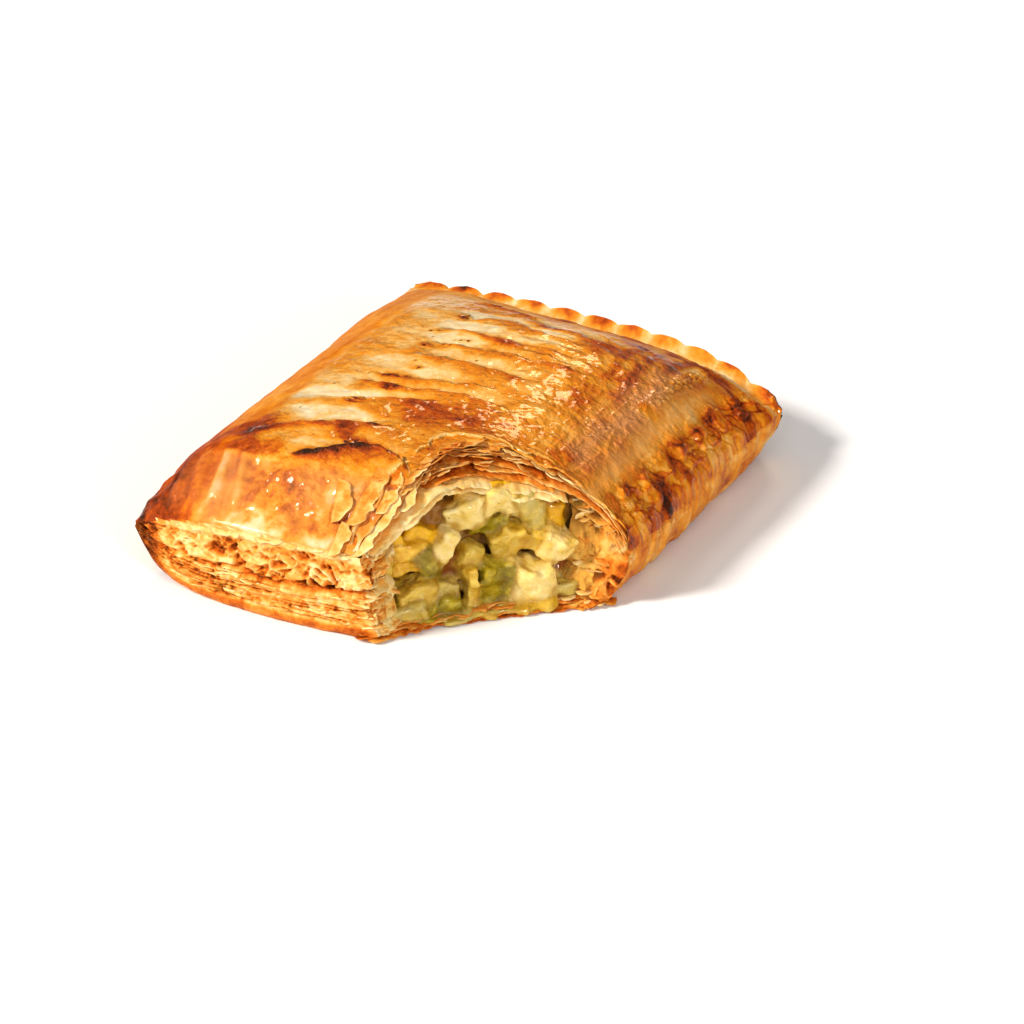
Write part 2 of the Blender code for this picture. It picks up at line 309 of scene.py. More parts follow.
def unplan(x, y):
    """a and b for x and y, by stepping towards the target until it is met."""
    a, b = x / WIDTH * 2, y / LENGTH * 2
    for _ in range(14):
        px, py = plan(a, b)
        a, b = a + (x - px) / WIDTH * 2, b + (y - py) / LENGTH * 2
    return a, b


def side_weights(a, b):
    """How much each side counts at (a, b): the eighth power leaves all but the outermost band to the tips."""
    return {
        "front": np.clip(-b, 0, 1) ** 8,
        "back": np.clip(b, 0, 1) ** 8,
        "left": np.clip(-a, 0, 1) ** 8,
        "right": np.clip(a, 0, 1) ** 8,
    }


def rim_height(a, b, heights, tip_offset):
    """The tips' height, blended to each side's own height along its middle."""
    tip = between_tips(a, b, 2) + tip_offset
    height = tip.copy()
    for side, weight in side_weights(a, b).items():
        middle, squareness = heights[side]
        along = a if side in ("front", "back") else b
        height += weight * (1 - np.abs(along) ** squareness) * (middle - tip)
    return height


def from_sides(a, b):
    """Distance in mm from each side."""
    return {
        "left": (a + 1) / 2 * WIDTH,
        "right": (1 - a) / 2 * WIDTH,
        "front": (b + 1) / 2 * LENGTH,
        "back": (1 - b) / 2 * LENGTH,
    }


def shoulder(distance, width, power):
    """A superellipse quarter: 0 on the side, 1 from width inwards."""
    t = np.clip(distance / width, 0, 1)
    return (1 - (1 - t) ** power) ** (1 / power)


def plain_crust(a, b):
    """The upper crust before it is marked: rim height, shoulders and crown."""
    x, y = plan(a, b)
    rim = rim_height(a, b, RIM_TOP, 0.0)
    rise = np.ones_like(a)
    for side, reach in from_sides(a, b).items():
        start, width, power = TOP_SHOULDERS[side]
        rise = rise * shoulder(reach - start, width, power)
    crown = (3 * (1 - a**2) * (1 - b**2) - 2.5 * np.clip(-a, 0, 1) ** 2) * rise
    return flat3(x, y, rim + (CROWN - 2.5 - rim) * rise + crown)


def crust_frame(a, b):
    """Points of the plain crust and its outward normals, from small steps in a and b."""
    here = plain_crust(a, b)
    step = 0.004
    along_a = plain_crust(np.minimum(a + step, 1.0), b) - plain_crust(np.maximum(a - step, -1.0), b)
    along_b = plain_crust(a, np.minimum(b + step, 1.0)) - plain_crust(a, np.maximum(b - step, -1.0))
    return here, unit(np.cross(along_a, along_b))

# %% [markdown]
# ## Where the corner is torn off
# The tear runs straight across the front right corner. It has its own two directions: `s` along the tear,
# towards the pressed side, and `d` straight into the loaf. Dough tears in steps, the brittle glazed skin
# furthest back, then the leaves of the lid, and the soft base least. Each step is a line d(s).

# %% The tear's own directions and lines
TEAR_MIDDLE = np.array([31.6, -39.25])
TEAR_ALONG = np.array([math.cos(math.radians(45.57)), math.sin(math.radians(45.57))])
TEAR_INWARD = np.array([-TEAR_ALONG[1], TEAR_ALONG[0]])
SKIN_LINE = (
    (-37, -1), (-31, 3), (-25, 7), (-18, 11), (-13, 15), (-7, 20),
    (-2, 20.8), (6, 18), (13, 13), (20, 9), (26, 5), (31, 0),
)
LIP_LINE = ((-34, -1.5), (-28, 1.0), (-18, 4), (-7, 8), (3, 8), (12, 7), (22, 5), (27, 2.5), (31, -1))
BASE_LINE = ((-36, -1.5), (-30, -0.2), (-15, 1.6), (0, 2.0), (15, 1.5), (30, 0), (36, -1.5))


def to_tear(x, y):
    """s and d of plan positions."""
    dx, dy = x - TEAR_MIDDLE[0], y - TEAR_MIDDLE[1]
    return dx * TEAR_ALONG[0] + dy * TEAR_ALONG[1], dx * TEAR_INWARD[0] + dy * TEAR_INWARD[1]


def from_tear(s, d):
    """Plan position of s and d."""
    return tuple(TEAR_MIDDLE[k] + s * TEAR_ALONG[k] + d * TEAR_INWARD[k] for k in (0, 1))


def line_at(s, line):
    """d of a given line of (s, d) points, at s."""
    return np.interp(s, *np.array(line, float).T)


def torn(s, line, seed, coarse, fine):
    """A given line through (s, d) points, made ragged by a broad and a sharp random wave."""
    points = flat3(s, seed * 17.0, 0.0)
    wave = coarse * noise(points, 7.0, seed) + fine * noise(points, 2.0, seed + 1)
    return line_at(s, line) + wave + 0.5 * fine * noise(points, 0.8, seed + 2)


def tear_away(x, y, edge_s, edge_d, line, seed, reach=22.0):
    """
    Pulls a whole sheet back behind a torn line. A point at d, less than `reach` behind the line, moves to
    D - (D - d)(D - line) / (D - edge), where D = line + reach and `edge` is the sheet's uncut outline.
    """
    s, d = to_tear(x, y)
    outline = np.interp(s, edge_s, edge_d)
    target = np.maximum(torn(s, line, seed, 1.6, 0.8), outline)
    inner = np.maximum(line_at(s, line), outline) + reach
    moved = inner - (inner - d) * (inner - target) / (inner - outline)
    return *from_tear(s, np.where(d < inner, moved, d)), target

# %% [markdown]
# ## Marks on the top
# Before baking, the baker slashed the top. In the oven each slash opened to a step: a swollen ridge in
# front, which browned, and a soft, pale dip behind. The egg wash pooled in the first and last slash
# and burnt. The rest is bubbles, wrinkles and patches where the oven was hotter.

# %% Slashes and patches, in millimetres
SLASHES = (  # points of each slash, its height in mm, and how dark it is, up to 1 for burnt
    (((-20, -47.2), (-15, -45), (-10, -42.5), (-5, -38.5), (-1, -38), (4, -39), (10, -42.5)), 1.5, 0.55),
    (((-33, -38), (-26, -36.2), (-20, -34), (-15, -31.5), (-9, -29.5), (-3, -29)), 1.5, 0.2),
    (((-29, -23), (-22, -21), (-15, -18.5), (-7, -15.5), (1, -14)), 1.4, 0.2),
    (((-25, -11.5), (-15, -10.5), (-3, -9), (8, -7.5), (16, -8)), 1.3, 0.2),
    (((-22, -6.5), (-12, -5.5), (0, -3), (8, -1.5)), 0.9, 0.1),
    (((-18, 5), (-8, 6), (4, 6.5), (16, 5)), 0.8, 0.05),
    (((-16, 12.5), (-8, 13.2), (6, 14), (21, 16)), 1.0, 0.15),
    (((-18, 20), (-8, 21), (6, 21), (18, 21)), 1.0, 0.15),
    (((-17, 26), (-13, 29), (-6, 32), (6, 28.5), (16, 27)), 1.1, 0.25),
    (((-6, 36.5), (4, 36), (14, 34.5), (24, 33)), 0.8, 0.15),
    (((-23, 39), (-20, 43), (-15, 43.8), (-10, 42), (-4, 40.2), (1, 40.8)), 1.2, 0.5),
    (((4, 41.5), (12, 40), (20, 38.5), (30, 37.5)), 0.7, 0.15),
    (((2, 17.5), (10, 18.2), (20, 17.8)), 0.6, 0.1),
    (((0, 24.5), (10, 24.2), (19, 23.8)), 0.6, 0.1),
    (((6, 31), (15, 30.6), (23, 29.8)), 0.6, 0.1),
)
PATCHES = (  # centre x and y, half widths, turn in degrees, and the change in browning
    (-37, -41, 5.5, 8.0, -35, 0.33),
    (-33, -45.5, 7.5, 3.4, -8, 0.33),
    (-26, -46, 4.0, 3.0, 0, 0.26),
    (-37, -22, 2.6, 12, 4, 0.20),
    (-35, 2, 3.0, 10, 0, 0.10),
    (-7, -22, 6, 3.0, 25, 0.16),
    (2, -19, 9, 5.0, 10, 0.18),
    (14, -18, 7, 4.5, 20, 0.16),
    (-9, -40, 8, 3.0, 30, 0.12),
    (10, -14, 8, 3.0, 5, 0.10),
    (19, 33, 9, 3.2, -12, 0.18),
    (8, 35, 7, 2.2, -8, 0.14),
    (27, 40, 7, 3.6, -15, 0.26),
    (30, 24, 3.0, 8, 6, 0.18),
    (33, 40, 3.5, 6, 10, 0.16),
    (25, 12, 3.5, 9, 0, 0.10),
    (-25, -20, 9.0, 3.4, 10, -0.36),
    (-21, -28.5, 10.0, 3.0, 15, -0.32),
    (-27, -13, 5.0, 3.0, 15, -0.22),
    (-18, 0, 9.0, 3.2, 0, -0.28),
    (-14, 16, 8.0, 3.0, 5, -0.30),
    (-13, 24, 8.0, 2.6, 10, -0.34),
    (-11, 32, 9.0, 2.2, 10, -0.34),
    (3, 24, 9.0, 1.6, 0, -0.20),
    (5, 30.5, 9.0, 1.6, -4, -0.22),
    (8, 38, 9.0, 1.4, -8, -0.20),
    (-15, -41, 6.0, 1.6, 18, -0.30),
    (-24, 17, 5.0, 9.0, 0, -0.16),
    (-24, -2, 5.0, 9.0, 0, -0.10),
    (-28, 38, 4.0, 7.0, 0, -0.12),
    (-20, -41, 7.5, 3.0, 12, -0.12),
    (2, 9, 9.0, 3.0, 0, -0.10),
)
SHEETS = (  # (s, d) points of the edge of each peeled leaf beside the tear, and its height in mm
    (((-36, 2.5), (-31, 7.5), (-27, 9.0), (-23, 14.0), (-17, 16.5)), 0.55),
    (((-15, 19.5), (-9, 22.6), (-2, 23.2), (5, 20.6)), 0.5),
    (((2, 22.0), (10, 16.6), (17, 12.4)), 0.35),
)
BURNT_SLASHES = (  # the burnt part of the first and last slash, and the half width of the char
    (((-19.5, -47.4), (-15, -45.4), (-10, -42.8), (-8, -41.4)), 1.5),
    (((-12, -43.8), (-6, -39.6), (-2, -38.1)), 0.8),
    (((-19, 43.2), (-14, 43.6), (-8, 41.5), (-2, 40.4)), 1.2),
    (((-9, -30.6), (-4, -29.2)), 0.8),
)
BURNT_SPOTS = (  # centre x and y, and half widths of each cluster of burnt specks
    (-8, -37.5, 3.2, 1.2),
    (-12, -34.5, 2.6, 2.2),
    (-18, -21.5, 3.0, 1.2),
    (-14, -12, 2.6, 1.6),
    (-20.5, -11, 1.6, 1.0),
    (-16, -6, 4.0, 1.0),
    (-13, -1, 1.6, 0.8),
    (-17, 10, 1.8, 0.9),
    (-18, 18, 3.0, 1.4),
    (-10, 15.5, 2.6, 0.8),
    (-17, 28.5, 1.8, 1.8),
    (-8, 27, 4.0, 0.8),
)

print(len(SLASHES), "slashes,", len(PATCHES), "patches and", len(BURNT_SPOTS), "clusters of burnt specks")

# %% [markdown]
# Four small shapes are enough to draw all of them: how far a point lies behind a path, a soft oval, a limit
# on browning, and the steps where leaves have peeled off.

# %% Shapes of marks
def behind_path(x, y, path):
    """How far a point lies behind (+Y of) a path drawn towards +X, and how far inside its two ends."""
    xs, ys = np.array(path, float).T
    return y - np.interp(x, xs, ys), np.minimum(x - xs[0], xs[-1] - x)


def capped(bake_and_shade):
    """Browning that levels off at deep brown, 0.83, however many causes add up."""
    return np.where(bake_and_shade > 0.75, 0.75 + 0.08 * np.tanh((bake_and_shade - 0.75) / 0.08), bake_and_shade)


def oval(x, y, cx, cy, rx, ry, turn):
    """A soft elliptical spot: 1 in the middle, about 0.37 at the half widths."""
    c, s = math.cos(math.radians(turn)), math.sin(math.radians(turn))
    u, v = (x - cx) * c + (y - cy) * s, (y - cy) * c - (x - cx) * s
    return bump(np.hypot(u / rx, v / ry))


def peeled_sheets(top):
    """Steps where leaves peeled off beside the tear: each path is the edge of one, lower towards the tear."""
    s, d = to_tear(top.wx, top.wy)
    height, bake_and_shade = np.zeros_like(s), np.zeros_like(s)
    for k, (path, drop) in enumerate(SHEETS):
        rag = 2.4 * noise(flat3(s, k * 9.0), 4.6, 111) + 1.0 * noise(flat3(s, k * 9.0), 1.7, 112)
        gap, inside = behind_path(s, d, path)
        gap = gap - rag
        window = smooth((inside + 1.0) / 3.0)
        above = smooth(gap / 0.3 + 0.5)
        over = above * np.exp(-np.maximum(gap, 0) / 4.0)
        below = (1 - above) * np.exp(np.minimum(gap, 0) / 1.2)
        height += window * drop * (0.8 * over + 0.5 * above * bump((gap - 0.9) / 0.8) - 0.1 * below)
        # Painted light: each edge is paler as a highlight just behind it, and the lower leaf just in front
        # darker as its shadow.
        bake_and_shade += window * (0.07 * below - 0.30 * above * np.exp(-np.maximum(gap, 0) / 1.1) - 0.04 * over)
    return height, bake_and_shade

# %% [markdown]
# ## The zones of the top
# Each part of the top baked in its own way: the open top, the slope down to the cut front end, the fold, the
# glazed pressed side, the seam and the scalloped back. One function works out where each zone lies, as
# numbers from 0 to 1, and the functions after it mark one zone each.

# %% Zones
def zones(a, b, x, y):
    """Coordinates, plain and bent, mm from the sides, the grain that all share, and 0 to 1 for each zone."""
    p = flat3(x, y)
    reach = from_sides(a, b)
    front_slope = smooth((reach["front"] - 13.0 - 1.2 * noise(p, 5, 13)) / 3.0)
    fold_band = smooth((reach["left"] - 15.5 - 1.5 * noise(p, 9, 14)) / 4.0)
    return SimpleNamespace(
        a=a, b=b, x=x, y=y, p=p, reach=reach,
        wx=x + 1.3 * noise(p, 6, 11) + 0.5 * noise(p, 1.8, 17),
        wy=y + 1.3 * noise(p, 6, 12) + 0.4 * noise(p, 1.8, 18),
        fine=noise(p, 0.9, 21),
        grainy=fractal(p * [0.45, 1, 1], 2.4, 3, 35),
        wrinkle=1 - np.abs(noise(p * [1.0, 0.45, 1] + 0.6 * noise(p, 4, 61)[..., None], 1.9, 62)),
        front_slope=front_slope,                # 0 on the front slope
        fold_band=fold_band,                    # 0 on the fold
        open_top=front_slope * fold_band,
        right_zone=smooth((x - 24 - 3 * noise(p, 8, 15)) / 12),
        seam_zone=smooth((x - 44.5 - noise(p, 5, 16)) / 3),
        back_zone=smooth((9.0 - reach["back"]) / 3),
        off_rim=smooth(reach["front"] / 5.0),   # 0 on the front rim
        fluted=smooth((-22 - x) / 8) * smooth((x + 48) / 5),
    )

# %% [markdown]
# ## The open top
# The crust swells gently, with fine grain, and browns unevenly. Over that lie the slashes, the browner and
# paler patches, and the burnt marks.

# %% Marks of the open top
def plain_looks(top):
    """Broad swells and grain of the unmarked crust, and its browning, more to the right, less to the left."""
    p = top.p
    height = 0.55 * noise(p, 24, 1) + 0.30 * fractal(p, 9, 2, 2)
    height += 0.12 * fractal(p, 2.8, 3, 5) * (0.3 + top.open_top)
    bake_and_shade = 0.43 + 0.07 * noise(p, 17, 31) + 0.12 * fractal(p * [0.55, 1, 1], 6, 3, 33) + 0.09 * top.grainy
    bake_and_shade += 0.10 * top.right_zone
    bake_and_shade -= 0.09 * smooth((-top.x + 4) / 14) * smooth((top.y + 34) / 14) * top.fold_band
    return height, bake_and_shade


def slash_marks(top):
    """
    Height and browning of the slashes. With g the distance behind a slash, a tanh step leads from the ridge
    in front, e^(g / 3.8), to the dip behind, -0.75 e^(-g / 2.8). The ridge browns and the dip stays pale.
    Along the crease a dark line is painted as shade, darker where egg wash burnt in it.
    """
    height, bake_and_shade = np.zeros_like(top.x), np.zeros_like(top.x)
    for path, rise, dark in SLASHES:
        gap, inside = behind_path(top.wx, top.wy + 0.5 * noise(top.p, 2.2, 41), path)
        window = smooth((inside + 1.5) / 7.0)
        step = 0.5 - 0.5 * np.tanh(gap / (0.28 + 0.30 * (dark < 0.5)))
        ridge = step * np.exp(np.minimum(gap, 0) / 3.8)
        ridge -= (1 - step) * 0.75 * np.exp(-np.maximum(gap, 0) / 2.8)
        height += rise * window * ridge * (0.85 if dark >= 0.5 else 0.7)
        bake_and_shade += window * 0.17 * (bump((gap + 1.5) / 1.6) - bump((gap - 2.3) / 2.0) * top.fold_band)
        # A dark line along the crease: painted shade, plus burnt egg wash where dark is high.
        bake_and_shade += window * (0.10 + 0.6 * dark) * bump((gap + 0.1) / 0.5) * (0.85 + 0.3 * top.fine)
    return height, bake_and_shade


def patches(top):
    """The strongest of the browner patches plus the strongest of the paler ones."""
    browner, paler = np.zeros_like(top.x), np.zeros_like(top.x)
    for cx, cy, rx, ry, turn, change in PATCHES:
        place = oval(top.wx + 0.8 * top.fine, top.wy, cx, cy, rx, ry, turn)
        spot = smooth(1.7 * place * (1 + 0.30 * top.grainy))
        browner, paler = np.maximum(browner, change * spot), np.minimum(paler, change * spot)
    return browner + paler


def burnt_marks(top, height, bake_and_shade):
    """Adds clusters of burnt specks, and the char along the lips of the first and last slash."""
    spots = fractal(top.p * [0.8, 1.4, 1], 1.05, 3, 51)
    for cx, cy, rx, ry in BURNT_SPOTS:
        place = oval(top.x, top.y, cx, cy, rx, ry, 12)
        speck = smooth((spots + 1.4 * place - 1.15) / 0.4)
        bake_and_shade += np.maximum(speck * (0.84 - bake_and_shade), 0) + 0.20 * smooth(1.6 * place) * (1 - speck)
        height -= 0.10 * speck
    for path, width in BURNT_SLASHES:
        gap, inside = behind_path(top.wx, top.wy, path)
        reach_in = smooth((inside + 0.5) / 3.0)
        char = reach_in * bump((gap + 0.4 * top.fine) / (width * (0.7 + 0.5 * noise(top.p, 3, 45))))
        bake_and_shade += smooth(1.5 * char) * (0.97 - bake_and_shade)
        bake_and_shade += 0.12 * bump(gap / (2.6 * width)) * reach_in * (1 - char)
    return height, bake_and_shade

# %% [markdown]
# ## The pressed side's glaze
# The egg wash lay thickest towards the pressed side, where it blistered and wrinkled as it dried. Just in
# front of the seam it left a column of open bubbles, a smooth tan strip and a dull, pinkish band.

# %% Marks of the pressed side
def blisters(top, height, bake_and_shade):
    """Adds fine blisters, wrinkles that run along the loaf, flecks painted pale as highlights, and dark
    strips towards the back.
    """
    x, y, p, wrinkle = top.x, top.y, top.p, top.wrinkle
    blister = smooth(1.15 - cells(p + 0.3 * noise(p, 2, 63)[..., None], 1.5, 64)[0] * 2.2)
    shiny = top.right_zone * (1 - bump((x - 42.5) / 2.4) * smooth((y + 26) / 6))
    height += shiny * top.open_top * (0.34 * wrinkle**3 + 0.22 * blister * smooth(noise(p, 7, 65) + 0.4))
    bake_and_shade += shiny * (0.12 * wrinkle**3 - 0.06 + 0.19 * fractal(p * [1, 0.4, 1], 4.2, 4, 72))
    # Flecks: raised blister cells, painted paler as highlights on the glaze.
    fleck = smooth((cells(p, 1.1, 73)[0] * -2.2 + 0.75) / 0.3)
    fleck = fleck * shiny * smooth(0.4 + 1.5 * noise(p, 6, 74))
    height += 0.22 * fleck * top.open_top
    bake_and_shade -= 0.10 * fleck * top.open_top
    strips = np.sin(2 * np.pi * (x + 0.12 * y + 1.2 * noise(p, 9, 75)) / 5.4)
    strips = strips * smooth((x - 20) / 5) * smooth((38 - x) / 3)
    bake_and_shade += 0.13 * np.tanh(2 * strips) * smooth((y - 12) / 14) * (0.7 + 0.5 * noise(p, 5, 76))
    return height, bake_and_shade, fleck


def side_bands(top, height, bake_and_shade, fleck):
    """Adds the column of bubbles and the tan strip, and works out where the pinkish band dulls the glaze."""
    x, y, p = top.x, top.y, top.p
    column = bump((x - 38.0 - 0.6 * noise(p, 7, 66)) / 1.7) * smooth((y - 14) / 14) * smooth((50 - y) / 6)
    near, after, _ = cells(p + 0.35 * noise(p, 1.8, 67)[..., None], 1.9, 68)
    wall = smooth((after - near) / 0.28)
    height += column * 0.45 * wall
    bake_and_shade += column * (0.16 - 0.34 * wall)
    tan_strip = bump((x - 42.8 - 0.8 * noise(p, 9, 69)) / 2.3) * smooth((y + 27) / 6) * smooth((46 - y) / 8)
    bake_and_shade += tan_strip * (0.27 - bake_and_shade) * 0.8
    pink = bump((x - 36 - 2.0 * noise(p, 8, 70)) / 4.5) * smooth((y + 22) / 16) * smooth((44 - y) / 12)
    dusty = 0.95 * pink * smooth(0.8 + noise(p, 4, 71)) * (1 - 0.6 * fleck) + 0.30 * tan_strip
    return height, bake_and_shade, dusty, tan_strip

# %% [markdown]
# ## The front slope and the fold
# The slope down to the cut front end carries upright flutes on its left, then blotches, and grows pale at
# its lower edge. The fold is smoother, with long faint streaks, and darkens towards its front tip.

# %% Marks of the front slope and the fold
def front_marks(top, height, bake_and_shade, dusty):
    """Adds the flutes, tanh of a sine 5.4 mm long, with painted light and shade, and the blotches of the
    front slope.
    """
    x, y, p = top.x, top.y, top.p
    flute = np.sin(2 * np.pi * (x + 0.25 * y + 1.8 * noise(p, 8, 81)) / 5.4) * top.fluted
    flute = np.tanh(1.5 * flute + 0.5 * top.grainy) * (0.85 + 0.4 * noise(p, 7, 83))
    slope = 1 - top.front_slope
    height += slope * (0.60 * flute + 0.30 * fractal(p, 3.5, 3, 82)) * top.off_rim
    # Flute crests are painted paler, as lit, and their hollows browner, as shade.
    slope_bake = 0.40 - 0.15 * flute + 0.34 * fractal(p, 5.5, 3, 85) + 0.09 * fractal(p, 1.6, 2, 86)
    slope_bake += 0.13 * smooth(1.4 * fractal(p * [1, 0.7, 1], 1.3, 2, 84))
    slope_bake -= 0.24 * smooth((4.0 - top.reach["front"] + 1.5 * noise(p, 2.4, 87)) / 3)
    bake_and_shade = slope_bake + (bake_and_shade - slope_bake) * top.front_slope
    dusty += (0.36 + 0.30 * noise(p, 7, 77)) * slope * top.fold_band
    dusty += 0.25 * top.fluted * slope * top.off_rim
    return height, bake_and_shade, dusty


def fold_marks(top, height, bake_and_shade):
    """Adds the streaks of the fold, its darker front tip, and a paler line of painted highlight where it
    leaves the top.
    """
    x, y, p = top.x, top.y, top.p
    streak = noise(p * [1, 0.12, 1], 1.6, 91)
    fold_bake = 0.53 + 0.07 * streak + 0.05 * noise(p, 14, 92) - 0.09 * smooth((x + 47) / 5)
    near_tip = smooth((-top.b - 0.32 + 0.12 * noise(p, 6, 96)) / 0.35)
    fold_bake = capped(fold_bake + (0.28 + 0.12 * fractal(p * [1, 0.5, 1], 4, 3, 93)) * near_tip)
    on_top = smooth(top.fold_band + 0.8 * smooth(1.4 * oval(x, y, -38, -41, 6, 9, -35)))
    bake_and_shade = fold_bake + (bake_and_shade - fold_bake) * on_top
    # The paler line along the fold's inner border is a painted highlight.
    bake_and_shade -= 0.12 * bump((top.reach["left"] - 17.5) / 1.5) * smooth((y + 20) / 20)
    height += (1 - top.fold_band) * 0.10 * streak
    return height, bake_and_shade

# %% [markdown]
# ## The seam, the back and the tips
# The baker pressed the seam shut with a row of finger dents, and crimped the back edge into scallops. Three
# of the four tips stand out from the loaf, so they bake darkest; the back left one is tucked in.

# %% Marks of the seam, the back and the tips
DENTS = 13


def seam_marks(top, height, bake_and_shade):
    """Adds the finger dents, round bells 2.9 mm wide, and the swirling small folds between them."""
    p = top.p
    phase = (top.b + 1) / 2 * DENTS
    along = np.abs(phase - np.floor(phase) - 0.5) * LENGTH / DENTS
    dent = bump(np.hypot(along, (top.reach["right"] - 5.0) * 0.9) / 2.9)
    swirl = p * [1, 0.7, 1] + 2.0 * flat3(noise(p, 3.0, 88), noise(p, 3.0, 89))
    near, after, own = cells(swirl, 3.0, 95)
    ring, crease = after - near, smooth(0.8 + 1.2 * noise(p, 6, 94))
    folds = 0.55 * smooth(ring / 0.5) * (0.6 + 0.6 * own) + 0.35 * top.wrinkle**2 - 0.25
    height += top.seam_zone * folds - 1.3 * dent
    # The creases between the small folds are painted darker, and the folds' tops paler, as shade and light.
    browning = 0.12 * bump(ring / 0.08) * crease - 0.09 * smooth(ring / 0.3) + 0.10 * own
    browning += 0.10 + 0.15 * fractal(p, 3, 2, 97) + 0.08 * bump((along - 3.8) / 1.2)
    return height, bake_and_shade + top.seam_zone * browning + 0.03 * dent


def scallops_along(a):
    """Round tops and sharp roots: |sin| of the place along the back, to the power 0.7."""
    return np.abs(np.sin(np.pi * (a + 1) / 2 * SCALLOPS)) ** 0.7


def back_marks(top, height, bake_and_shade):
    """Adds the rope of scallops with pale roots and brown tops, the groove before it and the brown band."""
    x, p, back = top.x, top.p, top.reach["back"]
    scallop = scallops_along(top.a) * (0.8 + 0.4 * noise(flat3(x, 0), 9, 102))
    rope = smooth(1 - (back - 0.5) / 4.5)
    groove = bump((back - 6.0 - 0.6 * noise(p, 5, 98)) / 2.0) * (1 - top.a**8)
    height += 0.8 * (scallop - 0.95) * rope - 0.35 * groove + 0.30 * rope * fractal(p, 3, 2, 103)
    top_of_rope = bump(back / 3.4) * scallop
    rope_bake = 0.10 + 0.84 * top_of_rope**1.3 + 0.20 * fractal(p, 2.6, 3, 104)
    bake_and_shade += top.back_zone * (rope_bake - bake_and_shade) * 0.9 - 0.16 * groove
    band = bump((back - 12) / 3.2) * smooth((x + 22) / 22) * smooth((50 - x) / 8)
    return height, bake_and_shade + 0.24 * band * (1 + 0.5 * top.grainy), top_of_rope


def tip_marks(top, height, bake_and_shade):
    """Adds the dark, knobbly tips, all but the back left one, which is tucked in."""
    tip = smooth((np.minimum(np.abs(top.a), np.abs(top.b)) - 0.84) / 0.14)
    tip = tip * (1 - 0.85 * smooth(-top.a) * smooth(top.b))
    bake_and_shade += (0.78 + 0.20 * fractal(top.p, 2.4, 3, 105) - bake_and_shade) * tip * smooth(0.8 + 0.6 * noise(top.p, 3, 99))
    return height + 0.8 * tip * fractal(top.p, 2.8, 3, 100), bake_and_shade, tip

# %% [markdown]
# Where the egg wash lies is the last thing to settle: thick on the open top, thinner on the fold and the
# seam, and almost none on the flutes, the tan strip and the back.

# %% All the looks of the top
def top_looks(a, b, x, y):
    """Height in mm above the plain crust, browning, glaze and dustiness, from 0 to 1, over the whole top."""
    top = zones(a, b, x, y)
    height, bake_and_shade = plain_looks(top)
    # The slashes' browning also carries the shade painted along their creases.
    rise, browning = slash_marks(top)
    height, bake_and_shade = burnt_marks(top, height + rise, capped(bake_and_shade + browning + patches(top)))
    height, bake_and_shade, fleck = blisters(top, height, bake_and_shade)
    height, bake_and_shade, dusty, tan_strip = side_bands(top, height, bake_and_shade, fleck)
    height, bake_and_shade, dusty = front_marks(top, height, bake_and_shade, dusty)
    sheet_height, sheet_bake = peeled_sheets(top)
    height, bake_and_shade = height + sheet_height * top.off_rim, bake_and_shade + sheet_bake * top.off_rim
    height, bake_and_shade = fold_marks(top, height, bake_and_shade)
    height, bake_and_shade = seam_marks(top, height, bake_and_shade)
    height, bake_and_shade, top_of_rope = back_marks(top, height, bake_and_shade)
    height, bake_and_shade, tip = tip_marks(top, height, bake_and_shade)
    height = height * (0.3 + 0.7 * top.off_rim)
    shelter = smooth((top.reach["back"] - 12) / 16)
    glaze = np.maximum(top.open_top, 0.6 * top.fold_band * (1 - top.fluted)) * (1 - 0.5 * tan_strip)
    glaze = glaze * (0.85 + 0.15 * noise(top.p, 6, 101)) * shelter * (1 - 0.35 * top.seam_zone)
    glaze = np.maximum(np.maximum(glaze, 0.7 * tip), 0.06 + 0.19 * top.fold_band * shelter)
    dusty = dusty + 0.28 * top.back_zone * (1 - tip) * (1 - top_of_rope)
    return height, np.clip(bake_and_shade, 0, 1), np.clip(glaze, 0, 1), np.clip(dusty, 0, 1)

# %% [markdown]
# ## The pastry's finishes
# Puff pastry brushed with beaten egg dries to a thin, glassy, amber skin (egg white, IOR about 1.5), while
# bare dough stays matt. Both are slightly translucent, so light bleeds warm through thin leaves. One
# function makes each pastry finish from its own ramp, gloss and grain.

# %% Pastry materials
BAKING = (  # how far the crust is baked, and its colour: cream, gold, amber, brown, black
    (0.00, "EBD9B4"), (0.14, "E9C78C"), (0.28, "E6AE58"), (0.42, "DE9422"), (0.56, "CF7A08"),
    (0.68, "B95402"), (0.80, "943800"), (0.90, "5C1F00"), (1.00, "290B01"),
)
LEAVES = (  # the same for dough without egg
    (0.00, "EFDBAA"), (0.20, "EAC480"), (0.38, "E4A24E"), (0.55, "D8832A"),
    (0.70, "BA5E12"), (0.84, "8C420A"), (1.00, "491A02"),
)


def per_mm(size):
    """A texture scale whose features are `size` millimetres wide, for coordinates in metres."""
    return 1000.0 / size


